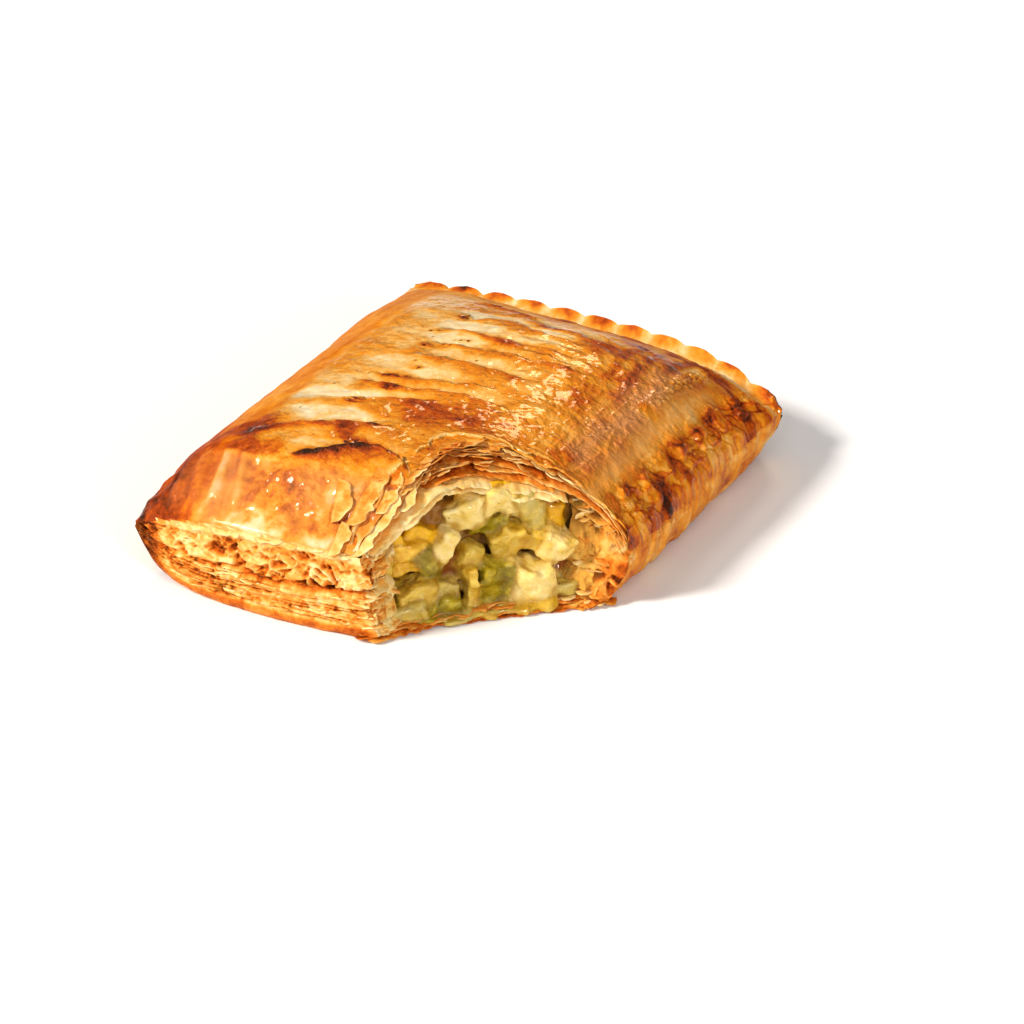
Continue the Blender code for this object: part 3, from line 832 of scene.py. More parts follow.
def pastry(name, stops, tint, grain, gloss, dull, coat, soft, bumps):
    """
    Baked dough: colour from the `bake_and_shade` attribute plus fine grain, roughness from `dull` to `gloss` by the
    `glaze` attribute, a varnish coat where it's glazed, and a bump of tiny blisters.
    """
    material, tree, shader = start_material(
        name,
        IOR=1.5,
        Specular_IOR_Level=0.4,
        Specular_Tint=(1.0, 0.66, 0.34, 1.0),
        Coat_Roughness=0.09,
        Coat_IOR=1.5,
        Subsurface_Weight=soft,
        Subsurface_Scale=0.0016,
        Subsurface_Radius=(1.0, 0.5, 0.22),
    )
    place = add(tree, "ShaderNodeTexCoord").outputs["Object"]
    bake_and_shade, glaze, dusty = (
        add(tree, "ShaderNodeAttribute", {"attribute_name": key}).outputs["Fac"]
        for key in ("bake_and_shade", "glaze", "dusty")
    )
    crumb = add(
        tree, "ShaderNodeTexNoise", Vector=place, Scale=per_mm(1.3), Detail=3.0, Roughness=0.6
    ).outputs["Fac"]
    cloud = add(tree, "ShaderNodeTexNoise", Vector=place, Scale=per_mm(4.5), Detail=2.0).outputs["Fac"]
    spread = add(tree, "ShaderNodeMath", {"operation": "ADD"}, i0=crumb, i1=cloud).outputs[0]
    shift = add(tree, "ShaderNodeMath", {"operation": "MULTIPLY_ADD"}, i0=spread, i1=grain, i2=-grain)
    total = add(tree, "ShaderNodeMath", {"operation": "ADD"}, i0=bake_and_shade, i1=shift.outputs[0]).outputs[0]
    # The ramp turns browning, with the painted shade and highlights carried in the same number, into colour.
    colour = ramp(tree, total, stops)
    tan = add(tree, "ShaderNodeMix", {"data_type": "RGBA"}, i0=dusty, i6=colour, i7=linear(tint)).outputs[2]
    tree.links.new(tan, shader.inputs["Base Color"])
    rough = add(tree, "ShaderNodeMapRange", Value=glaze, To_Min=dull, To_Max=gloss).outputs[0]
    rough = add(tree, "ShaderNodeMath", {"operation": "MULTIPLY_ADD"}, i0=crumb, i1=0.25, i2=rough)
    rough = add(tree, "ShaderNodeMath", {"operation": "SUBTRACT"}, i0=rough.outputs[0], i1=0.125).outputs[0]
    tree.links.new(rough, shader.inputs["Roughness"])
    varnish = add(tree, "ShaderNodeMath", {"operation": "MULTIPLY"}, i0=glaze, i1=coat).outputs[0]
    tree.links.new(varnish, shader.inputs["Coat Weight"])
    blisters = add(
        tree, "ShaderNodeTexNoise", Vector=place, Scale=per_mm(1.7), Detail=3.0, Roughness=0.5
    ).outputs["Fac"]
    raised = add(tree, "ShaderNodeMath", {"operation": "MULTIPLY"}, i0=blisters, i1=glaze).outputs[0]
    raised = add(tree, "ShaderNodeMath", {"operation": "MULTIPLY"}, i0=raised, i1=bake_and_shade).outputs[0]
    relief = add(tree, "ShaderNodeBump", Height=raised, Strength=0.9, Distance=bumps).outputs[0]
    tree.links.new(relief, shader.inputs["Normal"])
    return material


# Egg-washed crust: glassy amber varnish over browned skin, dusted with dull tan where the wash missed.
egg_washed_crust = pastry(
    "egg_washed_crust", BAKING, tint="CB8D58",
    grain=0.34, gloss=0.34, dull=0.65, coat=0.7, soft=0.08, bumps=0.0026,
)
# Torn dough: dry, matt leaves without egg, and moist, yellow ones beside the filling.
torn_dough = pastry(
    "torn_dough", LEAVES, tint="CFAC54",
    grain=0.45, gloss=0.45, dull=0.75, coat=0.10, soft=0.10, bumps=0.0036,
)

# %% [markdown]
# ## The crust
# The top is one fine grid, a third of a millimetre a cell, so that its wrinkles and slashes are real. The
# fold belongs to the same grid: its columns go on round the fold and under, to the floor. The grid is
# pulled back behind the torn line, then split in two pieces that keep the whole grid's normals.

# %% The thick edge
def under_rim(a, b, upper, share):
    """
    Points below the rim, for each `share`: from 0 to 1 straight down the thick edge, with a slight
    belly, then from 1 to 2 inwards under the loaf, on a superellipse, to the floor.
    """
    foot = np.minimum(rim_height(a, b, RIM_FOOT, -TIP_THICKNESS), upper[..., 2] - 0.8)
    weights = side_weights(a, b)
    inset = sum(weights[side] * FOOT_INSETS[side] for side in weights) / sum(weights.values())
    inset = inset + CORNER_INSET * np.minimum(np.abs(a), np.abs(b)) ** 8
    toward = -upper[..., :2] / np.array([WIDTH / 2, LENGTH / 2])
    pull = unit(toward * np.abs(toward) ** 3)
    down, under = np.clip(share, 0, 1), np.clip(share - 1, 0, 1)
    belly = 0.9 * np.sin(np.pi * down) * (upper[..., 2] - foot) / 20
    z = upper[..., 2] + (foot - upper[..., 2]) * down
    z = np.where(share <= 1, z, foot * (1 - shoulder(under, 1.0, 1.5)))
    plan_xy = upper[..., :2] + pull * (inset * under - belly)[..., None]
    return np.concatenate([plan_xy, z[..., None]], axis=-1)


def scallop_push(a, b):
    """How far the back edge is pressed in between scallops: 1.6 mm at each root, only near the edge."""
    return 1.6 * (1 - scallops_along(a)) * smooth(1 - from_sides(a, b)["back"] / 5.0)


def marked_crust(a, b):
    """Points, normals and looks of the top with its marks: the plain crust pushed out along its normal."""
    base, normal = crust_frame(a, b)
    height, bake_and_shade, glaze, dusty = top_looks(a, b, base[..., 0], base[..., 1])
    points = base + normal * height[..., None]
    points[..., 1] -= scallop_push(a, b)
    return points, normal, {"bake_and_shade": bake_and_shade, "glaze": glaze, "dusty": dusty}

# %% [markdown]
# To tear the corner off, every point near it slides back behind the torn line, and its marks are worked out
# again where it lands. The edges of the skin are brittle, so they also curl, droop and lap over a little.

# %% The torn top
cut_a, cut_b = np.linspace(0.0, 1.0, 200), np.linspace(-1.0, 0.0, 200)
corner = [np.concatenate(pair) for pair in zip(plan(cut_a, -1 + 0 * cut_a), plan(1 + 0 * cut_b, cut_b))]
corner_s, corner_d = to_tear(*corner)


def hang_over_front(points, looks, x):
    """The skin's front edge droops 0.15 to 4 mm over the cut end, in a ragged, pale and dull line."""
    line = flat3(x, 0)
    hang = 1.1 + 1.5 * noise(line, 4.5, 113) + 1.0 * noise(line, 1.5, 114) + 0.5 * noise(line, 0.6, 115)
    hang = np.maximum(hang, 0.15) * smooth((x + 52) / 8)
    points[:, 0] += flat3(0 * hang, -0.30 - 0.15 * noise(line, 1.2, 116), -hang)
    pale = 0.26 + 0.10 * noise(line, 2, 117) - looks["bake_and_shade"][:, 0]
    looks["bake_and_shade"][:, 0] += pale * smooth((x + 50) / 10)
    looks["glaze"][:, :3] = 0.25


def tuck_over_side(points, y):
    """The skin's right edge laps 0.1 to 2 mm down over the side below the seam."""
    side = flat3(0, y)
    tuck = (0.7 + 0.7 * noise(side, 5, 118) + 0.5 * noise(side, 1.7, 119)) * smooth((56 - y) / 6)
    points[-1] += flat3(0.25 + 0.2 * noise(side, 2, 120), 0 * tuck, -np.maximum(tuck, 0.1))


def torn_crust(a, b):
    """
    The marked crust pulled back behind the skin's torn line. A point that hasn't moved keeps its own a
    and b, so the rim meets the sides exactly. The torn edge curls up by e^(-distance / 1.6) and is paler.
    """
    flat_x, flat_y = plan(a, b)
    x, y, edge = tear_away(flat_x, flat_y, corner_s, corner_d, SKIN_LINE, 7)
    still = np.hypot(x - flat_x, y - flat_y) < 1e-6
    found = (np.clip(value, -1, 1) for value in unplan(x, y))
    points, normal, looks = marked_crust(*(np.where(still, own, new) for own, new in zip((a, b), found)))
    s, d = to_tear(x, y)
    is_torn = smooth((edge - np.interp(s, corner_s, corner_d)) / 2.0)
    behind = np.maximum(d - edge, 0)
    curl = is_torn * np.exp(-behind / 1.6) * (0.55 + 0.5 * noise(flat3(s, d), 5.0, 110))
    looks["bake_and_shade"] = np.clip(looks["bake_and_shade"] + is_torn * (0.05 - 0.22 * np.exp(-behind / 0.7)), 0, 1)
    points = points + normal * curl[..., None]
    hang_over_front(points, looks, x[:, 0])
    tuck_over_side(points, y[-1])
    return points, looks

# %% [markdown]
# The fold and the pressed side hang from the marked rim. They start with the rim's own browning and fade
# into bare dough, so that no line shows where two grids meet.

# %% Sides that hang from the rim
def even(count, crowd):
    """Numbers from -1 to 1, a little closer together near both ends."""
    u = np.linspace(-1, 1, count)
    return (1 - crowd) * u + crowd * np.sin(np.pi / 2 * u)


def below_rim(a, b, share):
    """
    The plain thick edge and underside, one column per share, from the marked rim down. A ghost column just
    above the rim comes first in the second array, so that normals there take the crust's slope into account.
    """
    rim, _, looks = marked_crust(a, b)
    points = under_rim(a, b, rim, share)
    inner_a, inner_b = (np.where(np.abs(t) >= 1, t * 0.994, t) for t in (a[:, :1], b[:, :1]))
    above, _, _ = marked_crust(inner_a, inner_b)
    return points, np.concatenate([above, points], axis=1), looks


def blend_looks(near, far, weight):
    """Fades the rim's own looks into those of the surface below it."""
    return {key: near[key] * (1 - weight) + far[key] * weight for key in near}


def bare_side(points, seed):
    """Height and looks of the smooth bare dough of the fold and the pressed side's underside."""
    height = 0.16 * noise(points, 5, seed) + 0.12 * noise(points * [1, 0.5, 1], 1.8, seed + 1)
    bake_and_shade = 0.42 + 0.08 * noise(points * [1, 0.35, 1], 2.4, seed + 2) + 0.10 * fractal(points, 9, 2, seed + 3)
    bake_and_shade += 0.22 * smooth((3.0 - points[..., 2]) / 3.0)
    return height, baked(bake_and_shade, 0.3, 0.15)


def side_piece(name, a, b, share, seed, ribs=0.0):
    """
    The fold, or the pressed side below its seam, as one grid: rows along the loaf, columns downwards.
    `ribs` is the strength of the slanting creases and brown blotches.
    """
    plain, with_ghost, rim_looks = below_rim(a, b, share)
    normals = grid_normals(with_ghost)[:, 1:]
    outward = np.sign((normals * (plain - [0, 0, 15])).sum(axis=-1, keepdims=True).mean())
    height, looks = bare_side(plain, seed)
    slant = flat3(plain[..., 1] + 0.9 * plain[..., 2] + 2.0 * noise(plain, 5, seed + 6), plain[..., 2] * 0.3)
    rib = np.abs(noise(slant, 3.4, seed + 5))
    height = height + ribs * (4 * np.minimum(rib, 0.3) + 1.5 * fractal(plain, 3.0, 2, seed + 7))
    # The ribs' creases are painted darker as shade; the blotches are browning.
    looks["bake_and_shade"] = looks["bake_and_shade"] + ribs * (1.0 * bump(rib / 0.07) + 1.1 * fractal(plain, 4.5, 3, seed + 8))
    fade = smooth(share / 0.35) * smooth((2 - share) / 0.15)
    points = plain + outward * normals * (height * fade)[..., None]
    points[..., 2] = np.maximum(points[..., 2], CLEARANCE)
    looks = blend_looks(rim_looks, looks, smooth(share / 0.5))
    ghosted = np.concatenate([with_ghost[:, :1], points], axis=1)
    points_normals = outward * grid_normals(ghosted)[:, 1:]
    faces = facing(quads(*points.shape[:2]), outward)
    make_piece(name, points, faces, egg_washed_crust, normals=points_normals, **looks)
    return points

# %% [markdown]
# The grid crowds a little towards its edges, where the crust curves most. Two halves keep each piece well
# under 200,000 triangles, and both take their normals from the whole grid, so that the join doesn't show.

# %% The crust's top
top_a, top_b = np.meshgrid(even(345, 0.35), even(395, 0.2), indexing="ij")
top_points, top_looks_here = torn_crust(top_a, top_b)
top_normals = grid_normals(top_points)
half = top_b.shape[1] // 2
for name, part in (("crust_top_front", np.s_[:, : half + 1]), ("crust_top_back", np.s_[:, half:])):
    points = top_points[part]
    looks = {key: values[part] for key, values in top_looks_here.items()}
    make_piece(name, points, quads(*points.shape[:2]), egg_washed_crust, normals=top_normals[part], **looks)

# %% [markdown]
# ## The sides
# The fold is smooth dough that turns under. The front and back ends were cut with a knife, so there the
# leaves show on edge: they puffed up into a honeycomb above the pressed seam and stayed shut below it.
# All are grids hung from the marked rim, and each stops at its own ragged line where the corner is gone.

# %% Where the tear crosses the sides
def reached(side, share, seed):
    """For each share, how far along the front (a) or the pressed side (b) the torn edge lies."""
    t, level = np.meshgrid(np.linspace(-1, 1, 1600), share, indexing="ij")
    a, b = (t, -1 + 0 * t) if side == "front" else (1 + 0 * t, t)
    points = under_rim(a, b, plain_crust(a, b), level)
    s, d = to_tear(points[..., 0], points[..., 1])
    upper, lower = line_at(s, SKIN_LINE), line_at(s, BASE_LINE)
    line = upper + (lower - upper) * smooth(level / 0.35)
    layer = flat3(level * 22, seed)
    gone = d < line + 1.4 * noise(layer, 4.0, seed) + 0.8 * noise(layer, 1.3, seed + 1)
    if side == "front":
        return t[:, 0][np.argmax(gone, axis=0)]
    return t[:, 0][len(t) - 1 - np.argmax(gone[::-1], axis=0)]


share = np.linspace(0, 2, 46)
fold_b, fold_share = np.meshgrid(even(330, 0.2), share, indexing="ij")
side_piece("fold_side", -1 + 0 * fold_b, fold_b, fold_share, 120)
side_u, side_share = np.meshgrid(np.linspace(0, 1, 300), share, indexing="ij")
side_start = reached("right", share, 131)
side_b = side_start + (1 - side_start) * side_u
side_points = side_piece("pressed_side", 1 + 0 * side_b, side_b, side_share, 140, ribs=0.15)
print("the pressed side starts at", side_points[0, 0].round(1), "foot", side_points[0, -1].round(1))

# %% [markdown]
# ## The cut ends
# A knife cut through puff pastry shows hundreds of leaves. Above the seam steam forced them apart into
# pores with thin pale walls; below it they lie shut like the pages of a book, with dark slits between.

# %% Leaves and pores on edge
def leaves_on_edge(l, v, pitch, seed):
    """
    Closed leaves, edge on. Layer number is (v + waves) / pitch; each layer sticks out by its own random
    amount, which changes slowly along l, and the slit between two layers is a narrow bell.
    """
    wave = 0.8 * noise(flat3(l, v * 0.3), 11, seed) + 0.35 * noise(flat3(l, v * 0.6), 3.0, seed + 1)
    w = (v + wave) / pitch
    layer = np.floor(w)
    out = noise(flat3(l, layer * 37.7), 6.5, seed + 2) + 0.5 * noise(flat3(l, layer * 53.1), 1.7, seed + 3)
    slit = bump((w - layer) / 0.16) + bump((w - layer - 1) / 0.16)
    open_slit = smooth(noise(flat3(l, layer * 29.3), 7.0, seed + 4) * 2.2 + 0.35)
    return out, slit * open_slit


def pores(l, v, size, seed, stretch=1.0):
    """Bubbles burst open: 0 on the thin walls between cells and 1 inside them, and each one's own number."""
    p = flat3(l / stretch, v) + 0.35 * size * noise(flat3(l, v), size * 1.1, seed)[..., None]
    near, after, own = cells(p, size, seed + 1)
    return smooth((after - near - 0.06) / 0.30) * (0.55 + 0.45 * own), own

# %% [markdown]
# The whole end is one relief over a band 20 mm high. The pores shade themselves, and their floors are
# painted darker still as shade, more so further down the band. The slits between the shut leaves and the
# fissure are painted dark as shade too, and leaves that stand out are painted paler, as lit.

# %% Surface of a cut end
def cut_end(l, t, along, seed, tear_at):
    """
    Height and looks of a cut end: l is the place along it in mm, t runs from 0 at the lip to 1 at the foot,
    and `along` is the distance from the nearest whole tip. Zones of t: a pale lip, puffed leaves full of
    pores, a fissure along the seam, shut leaves, and a browned rim at the foot.
    """
    v = t * 20.0
    p = flat3(l, v)
    t = t + 0.020 * noise(p, 6, seed + 10) + 0.012 * noise(p, 2, seed + 11)
    ledge = 0.06 + 0.05 * noise(flat3(l, 1), 5, seed + 16) + 0.03 * noise(flat3(l, 2), 1.6, seed + 17)
    lip = smooth((ledge + 0.02 - t) / 0.04)
    puffed = smooth((t - ledge) / 0.05) * smooth((0.53 - t) / 0.05)
    shut = smooth((t - 0.50) / 0.05) * smooth((0.95 - t) / 0.04)
    rim = smooth((t - 0.925 + 0.02 * noise(p, 3, seed + 13)) / 0.04)
    webs = smooth(noise(flat3(l, 0), 9, seed + 12) * 2)
    big, own = pores(l + 0.8 * noise(p, 4, seed + 19), v * (0.45 + 0.6 * (1 - webs)), 3.3, seed + 20, 1.0)
    small, knob = pores(l, v, 1.45, seed + 30, 1.3)
    big = big * smooth(1.5 * own + 0.7)
    deep = smooth((t - ledge - 0.02) / 0.22)
    depth = puffed * (0.10 + 0.20 * deep + (0.5 + 1.6 * deep) * big + 0.75 * small * smooth(knob + 0.7))
    depth -= puffed * 0.6 * smooth(-2 * knob) * small
    out, slit = leaves_on_edge(l, v, 1.15, seed + 40)
    chip = flat3(l * 0.13, v) + 0.30 * noise(flat3(l, v), 3, seed + 17)[..., None]
    near, after, flake_own = cells(chip, 1.1, seed + 45)
    gap = bump((after - near) / 0.10) * smooth(2.5 * noise(p, 5, seed + 18) + 0.2)
    out, slit = 0.6 * out + 0.6 * flake_own, np.maximum(0.8 * slit, gap)
    height = 0.3 * lip - depth + shut * (0.5 * out - 1.0 * slit) + 0.35 * rim
    height += 0.14 * fractal(p, 1.6, 3, seed + 50)
    fissure = bump((t - 0.50 - 0.06 * noise(p, 9, seed + 14) - 0.02 * noise(p, 2, seed + 9)) / 0.026)
    width = 0.35 + 0.65 * smooth(0.5 + 0.8 * noise(flat3(l, 3), 10, seed + 15))
    if tear_at is not None:
        width = width + 1.4 * smooth((l - tear_at + 18) / 16)
    height -= 1.5 * fissure * width
    bake_and_shade = 0.25 + 0.17 * fractal(p, 4.5, 3, seed + 51) + 0.12 * noise(p, 0.9, seed + 52)
    # Painted shade in small pores, deeper pores, slits and the fissure; painted light on leaves that stand
    # out.
    bake_and_shade += 0.26 * (1 - puffed) * (1 - lip) * small * smooth(knob + 0.4)
    bake_and_shade += 0.10 * smooth(1.5 * noise(p, 7, seed + 56))
    bake_and_shade += puffed * ((0.26 + 0.36 * deep) * big + 0.24 * small - 0.05)
    bake_and_shade += shut * (0.04 - 0.13 * out + 0.52 * slit) + 0.34 * fissure * width
    pale_lip = lip * (0.18 - bake_and_shade + 0.10 * noise(p, 2.5, seed + 53))
    brown_rim = rim * (0.62 + 0.12 * noise(p, 3, seed + 55) - bake_and_shade)
    bake_and_shade += 0.8 * pale_lip + 0.9 * brown_rim
    tip = smooth((0.19 - along) / 0.12)
    bake_and_shade += tip * (0.86 - bake_and_shade) * smooth(0.9 + 0.7 * noise(p, 2.2, seed + 54))
    return height, baked(bake_and_shade, 0.30 + 0.5 * tip + 0.2 * rim)


def end_piece(name, a, b, share, seed, tear_at=None):
    """A cut end as one grid: rows along it, columns down its band and in under it."""
    rim, _, _ = marked_crust(a, b)
    plain = under_rim(a, b, rim, share)
    normals = grid_normals(plain)
    outward = np.sign((normals * (plain - [0, 0, 15])).sum(axis=-1).mean())
    along = np.minimum(1 + a, 1 - a) if tear_at is None else 1 + a
    height, looks = cut_end(plain[..., 0], np.clip(share, 0, 1), along, seed, tear_at)
    squeeze = np.clip((rim[..., 2] - plain[..., 2].min(axis=1, keepdims=True)) / 20, 0.15, 1)
    fade = smooth(share / 0.02) * smooth((2 - share) / 0.3) * squeeze
    points = plain + outward * normals * (height * fade)[..., None]
    points[..., 2] = np.maximum(points[..., 2], CLEARANCE)
    make_piece(name, points, facing(quads(*points.shape[:2]), outward), torn_dough, **looks)
    return points

# %% [markdown]
# The front end stops where the corner is gone; the back end runs from tip to tip, with a coarser grid.

# %% The two ends
def band_shares(count):
    """Shares down the band, then in under the loaf in eleven coarser steps."""
    return np.concatenate([np.linspace(0, 1, count), np.linspace(1, 2, 12)[1:]])


end_share = band_shares(100)
front_end_a = reached("front", end_share, 151)
front_u, front_share = np.meshgrid(np.linspace(0, 1, 320), end_share, indexing="ij")
front_a = -1 + (front_end_a + 1) * front_u
front_points = end_piece("front_end", front_a, -1 + 0 * front_a, front_share, 160, tear_at=11.0)
print("the front end stops at", front_points[-1, 0].round(1), "foot", front_points[-1, -1].round(1))
back_a, back_share = np.meshgrid(np.linspace(-1, 1, 360), band_shares(60), indexing="ij")
end_piece("back_end", back_a, 1 + 0 * back_a, back_share, 260)

# %% [markdown]
# ## The base
# The underside lay flat on the tray: smooth, even brown, and browner towards its edge. A Coons patch
# of the four feet fills the outline, and the torn corner is pulled back as on the top.

# %% Base plate
def foot(a, b):
    """The foot line of the untorn loaf at rim position (a, b)."""
    return under_rim(a, b, marked_crust(a, b)[0], 2.0 + 0 * a)


def coons(u, v, left, right, front, back):
    """Coons patch of four boundary curves, each an array of points along its side."""
    u, v = u[..., None], v[..., None]
    straight = (1 - v) * ((1 - u) * front[0] + u * front[-1]) + v * ((1 - u) * back[0] + u * back[-1])
    return (1 - v) * front[:, None] + v * back[:, None] + (1 - u) * left[None] + u * right[None] - straight


base_line_a, base_line_b = np.linspace(-1, 1, 150), np.linspace(-1, 1, 170)
front_foot, right_foot = foot(base_line_a, -1 + 0 * base_line_a), foot(1 + 0 * base_line_b, base_line_b)
left_foot, back_foot = foot(-1 + 0 * base_line_b, base_line_b), foot(base_line_a, 1 + 0 * base_line_a)
base_u, base_v = np.meshgrid((base_line_a + 1) / 2, (base_line_b + 1) / 2, indexing="ij")
base_flat = coons(base_u, base_v, left_foot, right_foot, front_foot, back_foot)
middle_a, middle_b = len(base_line_a) // 2, len(base_line_b) // 2
outline = np.concatenate([front_foot[middle_a:], right_foot[:middle_b]])
outline_s, outline_d = to_tear(outline[:, 0], outline[:, 1])
tucked_line = tuple((s, d + 2.5) for s, d in BASE_LINE)
base_x, base_y, _ = tear_away(base_flat[..., 0], base_flat[..., 1], outline_s, outline_d, tucked_line, 19)
base_points = flat3(base_x, base_y, 0.02)
p = flat3(base_x, base_y)
from_edge = np.minimum(np.minimum(base_u, 1 - base_u), np.minimum(base_v, 1 - base_v))
base_bake = 0.60 + 0.10 * fractal(p, 14, 3, 300) + 0.07 * fractal(p, 2.5, 2, 304)
base_bake += 0.10 * smooth(1 - from_edge / 0.08)
base_faces = facing(quads(*base_points.shape[:2]), -1)
make_piece("base_plate", base_points, base_faces, egg_washed_crust, **baked(base_bake, 0.25, 0.25))

# %% [markdown]
# ## Leaves at the tear
# Each leaf of the torn lid is a closed, flattened tube: an upper and a lower side that meet at the free
# edge. The leaves lie like roof tiles. The outer ones broke furthest back and curl up, brown and crisp; the
# innermost is thick, moist and pale, and hangs down a little over the filling.

# %% Leaf tools
def leaf(centre, normal, thickness):
    """
    A closed thin leaf round a grid of middle points: its upper side runs away from the free edge, and its
    underside back to it. The thickness has to be nothing along both ends of the grid's first direction.
    """
    shift = normal * thickness[..., None] / 2
    ring = np.concatenate([centre + shift, (centre - shift)[:, ::-1]], axis=1)
    return ring, quads(*ring.shape[:2], wrap_columns=True)


def gather(leaves):
    """Joins (points, faces, looks) of many leaves into one set of arrays."""
    points, faces, looks, start = [], [], {}, 0
    for ring, quad, fields in leaves:
        points.append(ring.reshape(-1, 3))
        faces.append(quad + start)
        start += len(points[-1])
        for key, value in fields.items():
            looks.setdefault(key, []).append(np.broadcast_to(value, ring.shape[:2]).ravel())
    return np.concatenate(points), np.concatenate(faces), {key: np.concatenate(v) for key, v in looks.items()}


def make_leaves(name, leaves):
    """One piece of torn dough from many leaves."""
    points, faces, looks = gather(leaves)
    make_piece(name, points, faces, torn_dough, **looks)


def on_crust(s, d):
    """The plain crust's point and normal at s and d."""
    a, b = (np.clip(value, -1, 1) for value in unplan(*from_tear(s, d)))
    return crust_frame(a, b)


def rounded(q, reach=0.5):
    """A thickness that grows from a thin edge to full within `reach` mm."""
    return np.sqrt(np.clip(q / reach, 0.02, 1))


def end_taper(count, share):
    """1 along the middle of a leaf, and 0 at both ends."""
    u = np.linspace(0, 1, count)
    return np.sqrt(np.clip(np.minimum(u, 1 - u) / share, 0, 1))


def both_sides(upper, under):
    """Looks of the whole tube from those of its upper side and its underside."""
    return np.clip(np.concatenate([upper, under[:, ::-1]], axis=1), 0, 1)

# %% [markdown]
# Two shapes of leaf are needed: a long one that follows the tear, and a short tongue that is fixed on one
# side and curls away.

# %% A leaf along the tear, and a flake
LEAF_COLUMNS = 3.4      # grid columns for each mm of a long leaf


def lid_leaf(s_from, s_to, share, ragged, width, below, thickness, lift, droop, tone, moist, seed):
    """
    One leaf of the lid. Its free edge lies a `share` of the way from the lip line to the skin line, plus
    ragged waves. Its height is -below + lift e^(-q / 2) - droop e^(-(q / 4.5)^2) plus ripples; `lift` and
    `droop` are (middle, half width, mm) bells along s.
    """
    columns = int((s_to - s_from) * LEAF_COLUMNS)
    s, u = np.meshgrid(np.linspace(s_from, s_to, columns), np.linspace(0, 1, 11), indexing="ij")
    q = width * u**1.6
    line = flat3(s, seed * 13.0)
    wave = noise(line, 5.5, seed) + 0.5 * noise(line, 1.7, seed + 1) + 0.25 * noise(line, 0.7, seed + 2)
    lip, skin = line_at(s, LIP_LINE), line_at(s, SKIN_LINE)
    d = np.maximum(lip + (skin - lip) * share + ragged * wave, np.interp(s, corner_s, corner_d)) + q
    base, normal = on_crust(s, d)
    p = flat3(s, d)
    rise, sag = (bell[2] * bump((s - bell[0]) / bell[1]) for bell in (lift, droop))
    rise = rise * np.exp(-q / 2.0) * (0.6 + 1.1 * noise(flat3(s, seed), 4.0, seed + 3))
    ripple = 0.30 * noise(p * [1, 0.4, 1], 2.6, seed + 4) + 0.20 * fractal(p, 1.4, 2, seed + 5)
    centre = base + normal * (rise - below + ripple)[..., None]
    centre[..., 2] = np.maximum(centre[..., 2] - sag * bump(q / 4.5), 1.0)
    thick = thickness * rounded(q) * (0.75 + 0.5 * noise(p, 3, seed + 6)) * end_taper(columns, 0.05)[:, None]
    points, faces = leaf(centre, normal, thick)
    # The free edge is painted paler as a highlight, and the underside 0.10 darker as shade.
    bake_and_shade = tone + 0.14 * fractal(p, 4, 3, seed + 7) + 0.08 * noise(p, 0.9, seed + 8) + 0.14 * smooth(q / 4)
    bake_and_shade -= 0.24 * np.exp(-q / 0.5) * (0.6 + 0.6 * noise(flat3(s, 9), 3, seed + 9))
    wet = np.clip(moist + 0.3 * noise(p, 3, seed + 10), 0, 1) * min(1.0, 4 * moist)
    looks = {"bake_and_shade": both_sides(bake_and_shade, bake_and_shade + 0.10), "glaze": 0.35 + 0.3 * moist}
    return points, faces, {**looks, "dusty": both_sides(wet, wet)}


def flake(
    place, out, along, length, width, curl, tone, seed, columns, rows, ragged, thickness=0.32, moist=0.0
):
    """
    A torn tongue of one leaf, fixed along a line through `place` and free on its other side, where it curls
    away: across it the middle follows a circle, (w sin(c v) / c, w (1 - cos(c v)) / c).
    """
    u, v = np.meshgrid(np.linspace(-1, 1, columns), np.linspace(1, 0, rows), indexing="ij")
    line = flat3(u * length / 2, seed * 7.0)
    rag = 0.85 + ragged * (0.5 * noise(line, 2.4, seed) + 0.35 * noise(line, 0.9, seed + 1))
    w = width * np.clip(1 - u**2, 0, 1) ** 0.4 * np.clip(rag, 0.15, 1.5)
    bend = curl * (1 + 0.5 * noise(line, 3.5, seed + 2))
    bend = np.where(np.abs(bend) < 0.05, 0.05, bend)
    across = np.cross(out, along)
    p = flat3(u * length / 2, v * width, seed * 3.0)
    rise = w * (1 - np.cos(bend * v)) / bend + 0.20 * noise(p, 2.0, seed + 3)
    centre = (
        place + along * (u * length / 2)[..., None] + across * (w * np.sin(bend * v) / bend)[..., None]
        + out * rise[..., None]
    )
    normal = out * np.cos(bend * v)[..., None] - across * np.sin(bend * v)[..., None]
    thick = thickness * rounded((1 - v) * w, 0.35) * end_taper(columns, 0.12)[:, None]
    centre[..., 2] = np.maximum(centre[..., 2], 0.2)
    points, faces = leaf(centre, normal, thick)
    # The free edge is painted paler as a highlight, and the underside 0.12 darker as shade.
    bake_and_shade = tone + 0.14 * fractal(p, 2.6, 2, seed + 4) - 0.20 * np.exp(-(1 - v) * w / (0.3 + 0.12 * width))
    return points, faces, {"bake_and_shade": both_sides(bake_and_shade, bake_and_shade + 0.12), "glaze": 0.4, "dusty": moist}

# %% [markdown]
# Nine leaves make the lid's torn edge. Each row gives where it starts and ends along the tear, how far it
# broke back, and how deep it lies. Bells along `s` say where a leaf lifts and where it droops.

